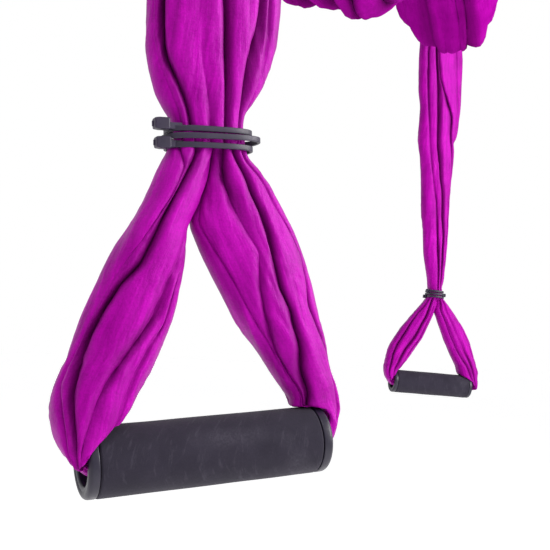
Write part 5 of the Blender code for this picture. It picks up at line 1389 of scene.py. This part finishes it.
# ---------------------------------------------------------------- ties
def tie(name, mid, u, v, out, wide, deep, head_at, head_out, head_up, node, body):
    """A cable tie: a band with rounded edges, a ratchet head and a trimmed tail."""
    power, facets = 0.68, 120
    sq = lambda q: np.sign(q) * np.abs(q) ** power
    ang = np.linspace(0, 2 * math.pi, facets, endpoint=False)
    base = mid + np.outer(sq(np.cos(ang)) * wide, u) + np.outer(sq(np.sin(ang)) * deep, out)
    tan = np.roll(base, -1, axis=0) - np.roll(base, 1, axis=0)
    tan /= np.linalg.norm(tan, axis=1)[:, None]
    nor = np.cross(tan, v)
    nor *= np.sign(np.sum(nor * (base - mid), axis=1))[:, None]
    band, thick, r = 0.0030, 0.0014, 0.0004
    prof = []
    for cx, cz, a0 in ((thick - r, band / 2 - r, 0), (r, band / 2 - r, 90), (r, -band / 2 + r, 180), (thick - r, -band / 2 + r, 270)):
        for a in (0, 30, 60, 90):
            t = math.radians(a0 + a)
            prof.append((cx + r * math.cos(t), cz + r * math.sin(t)))
    prof = np.array(prof)
    rings = []
    for k in range(facets):
        ring = base[k] + np.outer(prof[:, 0], nor[k]) + np.outer(prof[:, 1], v)
        rings.append(ring)
    rings = np.array(rings)
    count = prof.shape[0]
    verts = rings.reshape(-1, 3)
    faces = []
    for k in range(facets):
        j = (k + 1) % facets
        for c in range(count):
            d = (c + 1) % count
            faces.append((k * count + c, k * count + d, j * count + d, j * count + c))
    band_obj = put(name + "_band", verts, faces, TIE)
    band_obj.data.set_sharp_from_angle(angle=math.radians(50))
    if head_at is None:          # the head stands out to the left of the front strip
        middle = mid - u * (wide + head_out) + out * (deep * 0.62) + v * head_up
        tg, nn = -u, out
        sizes, neck = (0.0082, 0.0058, 0.0062), (0.0086, 0.0013, 0.0036)
        neck_mid = mid - u * (wide + head_out - 0.0066) + out * (deep * 0.62 + 0.0008) + v * (0.55 * head_up)
    else:
        h = math.radians(head_at)
        rim = mid + u * (wide * float(sq(np.cos(h)))) + out * (deep * float(sq(np.sin(h))))
        nn = u * (math.cos(h) / wide) + out * (math.sin(h) / deep)
        nn = nn / np.linalg.norm(nn)
        tg = np.cross(v, nn)
        middle = rim + nn * 0.0024
        sizes, neck = (0.0062, 0.0050, 0.0054), (0.0060, 0.0012, 0.0036)
        neck_mid = rim + nn * 0.0012 + tg * 0.0040
    M = Matrix((Vector(tg), Vector(nn), Vector(v))).transposed().to_4x4()
    M.translation = Vector(middle)
    bm = bmesh.new()
    bmesh.ops.create_cube(bm, size=1.0)
    bmesh.ops.subdivide_edges(bm, edges=bm.edges[:], cuts=2, use_grid_fill=True)
    for q in bm.verts:           # drawn in a little at its free end
        k = 0.94 if q.co.x > 0.4 else 1.0
        q.co = Vector((q.co.x * sizes[0], q.co.y * sizes[1] * k, q.co.z * sizes[2] * (0.90 if q.co.x > 0.4 else 1.0)))
    bmesh.ops.transform(bm, matrix=M, verts=bm.verts[:])
    head = from_bm(name + "_head", bm, TIE, 40)
    bevel(head, 0.0008, 3)
    # the neck of the strip and its trimmed tail
    bm = bmesh.new()
    N2 = M.copy()
    N2.translation = Vector(neck_mid)
    for (sx, sy, sz, ox, oy, oz, frame_at) in (
            (neck[0], neck[1], neck[2], 0.0, 0.0, 0.0, N2),
            (0.0016, 0.0011, 0.0030, sizes[0] / 2 - 0.0002, -0.0010, 0.0, M)):
        ret = bmesh.ops.create_cube(bm, size=1.0)
        for q in ret["verts"]:
            q.co = frame_at @ Vector((q.co.x * sx + ox, q.co.y * sy + oy, q.co.z * sz + oz))
    tail = from_bm(name + "_tail", bm, TIE, 40)
    bevel(tail, 0.00025, 2)
    for o in (band_obj, head, tail):
        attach(o, body)
    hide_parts(node)
    return band_obj


# ---------------------------------------------------------------- grips
def grip(tag, centre, axis, out):
    """Foam sleeve, core tube and the two flanged caps, as finely turned pieces."""
    body = f"{tag}_grip"
    axis, out = np.asarray(axis, float), np.asarray(out, float)
    side = np.cross(axis, out)

    def turn(name, prof, mat, facets=96, angle=40, closed=True, wobble=0.0, seed=0):
        prof = np.array(prof, float)
        ang = np.linspace(0, 2 * math.pi, facets, endpoint=False)
        s, r = prof[:, 0][:, None], prof[:, 1][:, None]
        if wobble:
            r = r + wobble * noise(s * 40 + 0 * ang, np.cos(ang)[None, :] * 1.5, np.sin(ang)[None, :] * 1.5, seed) * (r > 0.0165)
        P = centre + s[..., None] * axis + (r * np.cos(ang))[..., None] * out + (r * np.sin(ang))[..., None] * side
        verts = P.reshape(-1, 3)
        R, K = P.shape[0], facets
        faces = [tuple(f) for f in grid_faces(R, K, wrap=True)]
        if closed:
            for c in range(K):
                d = (c + 1) % K
                faces.append(((R - 1) * K + c, (R - 1) * K + d, d, c))
        mesh_obj = put(name, verts, faces, mat)
        bm = bmesh.new()
        bm.from_mesh(mesh_obj.data)
        bmesh.ops.recalc_face_normals(bm, faces=bm.faces[:])
        bm.to_mesh(mesh_obj.data)
        bm.free()
        mesh_obj.data.shade_smooth()
        mesh_obj.data.set_sharp_from_angle(angle=math.radians(angle))
        return mesh_obj

    end = GRIP_LONG / 2
    foam_end = end - CAP_THICK
    # rounded shoulders, then the long barrel
    prof = [(-foam_end, 0.0143)]
    r0 = 0.0014
    for k in range(8):
        t = math.pi / 2 * k / 7
        prof.append((-foam_end + r0 * (1 - math.cos(t)), GRIP_R - r0 + r0 * math.sin(t)))
    for k in range(1, 60):
        prof.append((-foam_end + r0 + (2 * foam_end - 2 * r0) * k / 60, GRIP_R))
    for k in range(8):
        t = math.pi / 2 * (1 - k / 7)
        prof.append((foam_end - r0 * (1 - math.cos(t)), GRIP_R - r0 + r0 * math.sin(t)))
    prof.append((foam_end, 0.0143))
    foam = turn(f"{tag}_foam", prof, FOAM, wobble=0.00016, seed=3 if tag == "near" else 6)
    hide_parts(f"{tag}_foam_grip")
    core = turn(f"{tag}_core", [(-foam_end, 0.0126), (-foam_end, 0.0140), (foam_end, 0.0140), (foam_end, 0.0126)], CORE, 64)
    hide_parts(f"{tag}_core_tube")
    pieces = [foam, core]
    for word, s in (("left", -1), ("right", 1)):
        seat, face, toe = foam_end + 0.0003, end, foam_end - 0.014
        out_r = GRIP_R - 0.0001
        prof = [(toe, CAP_BORE + 0.0002), (toe, 0.0121), (toe + 0.0012, 0.0123), (seat, 0.0123), (seat, out_r - 0.0008)]
        for k in range(5):
            t = math.pi / 2 * k / 4
            prof.append((seat + 0.0006 * (1 - math.cos(t)), out_r - 0.0006 + 0.0006 * math.sin(t)))
        for k in range(9):
            t = math.pi / 2 * (1 - k / 8)
            prof.append((face - 0.0024 + 0.0024 * math.cos(t), out_r - 0.0024 + 0.0024 * math.sin(t)))
        prof.append((face - 0.0002, CAP_BORE + 0.0030))
        prof.append((face - 0.0005, CAP_BORE + 0.0026))
        prof.append((face - 0.0005, CAP_BORE + 0.0016))
        for k in range(5):
            t = math.pi / 2 * k / 4
            prof.append((face - 0.0006 - 0.0010 * (1 - math.cos(t)) , CAP_BORE + 0.0010 - 0.0010 * math.sin(t)))
        prof.append((toe + 0.002, CAP_BORE))
        prof = [(s * a, b) for a, b in prof]
        cap = turn(f"{tag}_cap_{word}", prof, CAP, 112, 32)
        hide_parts(f"{tag}_end_cap_{word}")
        pieces.append(cap)
    for o in pieces:
        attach(o, body)
    return pieces


# ---------------------------------------------------------------- camera, floor and light
def look(eye, heading, pitch, roll):
    h, p, r = (math.radians(v) for v in (heading, pitch, roll))
    f = np.array([math.cos(p) * math.cos(h), math.cos(p) * math.sin(h), math.sin(p)])
    right = np.array([math.sin(h), -math.cos(h), 0.0])
    up = np.cross(right, f)
    r2 = right * math.cos(r) + up * math.sin(r)
    u2 = up * math.cos(r) - right * math.sin(r)
    m = Matrix((Vector(r2), Vector(u2), Vector(-f))).transposed().to_4x4()
    m.translation = Vector(eye)
    return m


cam_data = bpy.data.cameras.new("camera")
cam_data.sensor_width = 36.0
cam_data.lens = 65.4545
cam_data.clip_start = 0.02
cam_data.clip_end = 60
cam = bpy.data.objects.new("camera", cam_data)
bpy.context.scene.collection.objects.link(cam)
cam.matrix_world = look((-0.51377, -0.16900, -1.34137), 14.9456, 3.7314, 1.9)
bpy.context.scene.camera = cam


def stage():
    m = Mat("pale_floor")
    o = m.coords("Object")
    cloud = m.noise(o, 1.2, 3.0)
    m.link(m.ramp(cloud, [(0.2, (0.90, 0.90, 0.905)), (0.8, (0.93, 0.93, 0.935))]), m.bsdf.inputs["Base Color"])
    m.bsdf.inputs["Roughness"].default_value = 0.8
    m.bsdf.inputs["Specular IOR Level"].default_value = 0.2
    m.bsdf.inputs["Emission Color"].default_value = (1.0, 1.0, 1.0, 1.0)
    m.bsdf.inputs["Emission Strength"].default_value = 0.40
    m.link(m.bump(m.noise(o, 300.0, 2.0), 0.05, 0.0005), m.bsdf.inputs["Normal"])
    bm = bmesh.new()
    bmesh.ops.create_grid(bm, x_segments=2, y_segments=2, size=30)
    bmesh.ops.translate(bm, verts=bm.verts[:], vec=(0.5, 0, -2.05))
    floor = from_bm("floor", bm, m.mat)
    world = bpy.data.worlds.new("studio")
    bpy.context.scene.world = world
    world.use_nodes = True
    # a white backdrop ahead of the camera, a paler grey room round it
    nt = world.node_tree
    bg = nt.nodes["Background"]
    way = nt.nodes.new("ShaderNodeTexCoord")
    dot = nt.nodes.new("ShaderNodeVectorMath")
    dot.operation = "DOT_PRODUCT"
    dot.inputs[1].default_value = (0.966, 0.258, 0.0)
    nt.links.new(way.outputs["Generated"], dot.inputs[0])
    shade = nt.nodes.new("ShaderNodeValToRGB")
    shade.color_ramp.interpolation = "EASE"
    shade.color_ramp.elements[0].position = 0.25
    shade.color_ramp.elements[0].color = (ROOM, ROOM, ROOM, 1.0)
    shade.color_ramp.elements[1].position = 0.88
    shade.color_ramp.elements[1].color = (1.0, 1.0, 1.0, 1.0)
    nt.links.new(dot.outputs["Value"], shade.inputs[0])
    nt.links.new(shade.outputs[0], bg.inputs["Color"])
    bg.inputs["Strength"].default_value = 1.0
    for name, place, aim, size, power in LIGHTS:
        data = bpy.data.lights.new(name, "AREA")
        data.shape = "RECTANGLE"
        data.size, data.size_y = size
        data.energy = power
        data.color = (1.0, 0.99, 0.985)
        lamp = bpy.data.objects.new(name, data)
        bpy.context.scene.collection.objects.link(lamp)
        d = (Vector(aim) - Vector(place)).normalized()
        lamp.matrix_world = Matrix.Translation(Vector(place)) @ d.to_track_quat("-Z", "Y").to_matrix().to_4x4()


ROOM = 0.56
LIGHTS = [
    # soft box to the right of the camera, one above in front, one low fill to the left
    ("key_right", (0.15, -1.9, -0.55), (0.25, 0.0, -1.15), (1.0, 1.3), 49.0),
    ("top_front", (-1.1, -0.2, 0.35), (0.3, 0.0, -1.1), (1.2, 1.2), 17.0),
    ("fill_left", (-0.9, 1.3, -1.2), (0.2, 0.0, -1.2), (1.0, 1.4), 4.0),
    ("far_right", (0.75, -1.25, -0.75), (1.12, 0.0, -1.15), (0.5, 0.7), 9.0),
]
bpy.context.scene.view_settings.view_transform = "Standard"
stage()

# ---------------------------------------------------------------- assembly: near and far sides
for tag, x, turn, degrees, tilt, at, sl, sf, tabs in (
    ("near", NEAR_X, 1, NEAR_TURN, 4.9, (1.5, 0.0), NEAR_STRAP, NEAR_STRAP_FOLDS,
     (("left", NEAR_LEFT, NEAR_LEFT_END, NEAR_LEFT_FOLDS, 11, (0.026, 0.048, 0.85)),
      ("right", NEAR_RIGHT, NEAR_RIGHT_END, NEAR_RIGHT_FOLDS, 23, None))),
    ("far", FAR_X, -1, FAR_TURN, -3.2, (-2.4, -3.1), FAR_STRAP, FAR_STRAP_FOLDS,
     (("left", FAR_LEFT, FAR_LEFT_END, FAR_LEFT_FOLDS, 37, (0.025, 0.044, 0.8)),
      ("right", FAR_RIGHT, FAR_RIGHT_END, FAR_RIGHT_FOLDS, 41, (0.025, 0.044, 0.9)))),
):
    place = np.array([x, 0.0, -HANDLE_DROP])
    e, n = loop_axes(degrees)
    t = math.radians(tilt)
    axis = e * math.cos(t) + UP * math.sin(t)
    centre = place + e * (at[0] / 1000) + UP * (at[1] / 1000)
    for side, rows, end, folds, seed, wrap in tabs:
        big = tag == "near"
        obj, sw = leg(f"{tag}_{side}_leg_cloth", tag, place, degrees, tilt, at, side, rows, end, folds, seed, wrap,
                      rows_n=200 if big else 130, columns=15 if big else 11)
        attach(obj, f"{tag}_loop")
        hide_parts(f"{tag}_{side}_leg")
    sw, eye = strap(f"{tag}_strap", x, turn, degrees, sl, sf, 51 if tag == "near" else 67, 250, 13 if tag == "near" else 15)
    obj = sw.mesh(f"{tag}_strap_sheet", NYLON, drop=eye)
    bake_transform(obj)
    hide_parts(f"{tag}_strap_cloth")
    grip(tag, centre, axis, n)
    bundle(tag, centre, axis, n, 71 if tag == "near" else 73)
    end_trim(tag, 0.0 if tag == "near" else HANG_SPAN, turn)
    carabiner(tag, 0.0 if tag == "near" else HANG_SPAN, turn)
    ties = ({"top": (-4.1, 167.3, 22.6, 10.4, 3.4, None, 5.5, 2.1), "middle": (-2.4, 163.6, 25.8, 11.6, 4.0, 250.0, 0, 0), "bottom": (-3.5, 158.8, 22.8, 10.4, 3.4, None, 4.8, 0.8)}
            if tag == "near" else
            {"top": (1.4, 145.8, 11.2, 17.4, -5.0, 172.0, 0, 0), "middle": (1.4, 141.4, 11.6, 17.8, -5.0, 14.0, 0, 0), "bottom": (1.4, 137.0, 11.8, 17.6, -5.0, 196.0, 0, 0)})
    for word, (a0, z0, wide, deep, lean, head_at, head_out, head_up) in ties.items():
        r = math.radians(lean)
        u = e * math.cos(r) + UP * math.sin(r)
        v = UP * math.cos(r) - e * math.sin(r)
        tie(f"{tag}_tie_{word}", place + e * (a0 / 1000) + UP * (z0 / 1000), u, v, n, wide / 1000, deep / 1000, head_at, head_out / 1000, head_up / 1000,
            f"{tag}_cable_tie_{word}", f"{tag}_loop")

obj, sw = sling()
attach(obj, "root")
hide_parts("hammock_near_arm", "hammock_seat", "hammock_far_arm")

# plain nodes that stay, with finished materials
for name, obj in NODES.items():
    mat = None
    if "carabiner" in name or "pin" in name or "plunger" in name or "spring" in name:
        mat = STEEL
    elif "sleeve" in name:
        mat = SLEEVE
    if mat is not None:
        obj.data.materials.clear()
        obj.data.materials.append(mat)
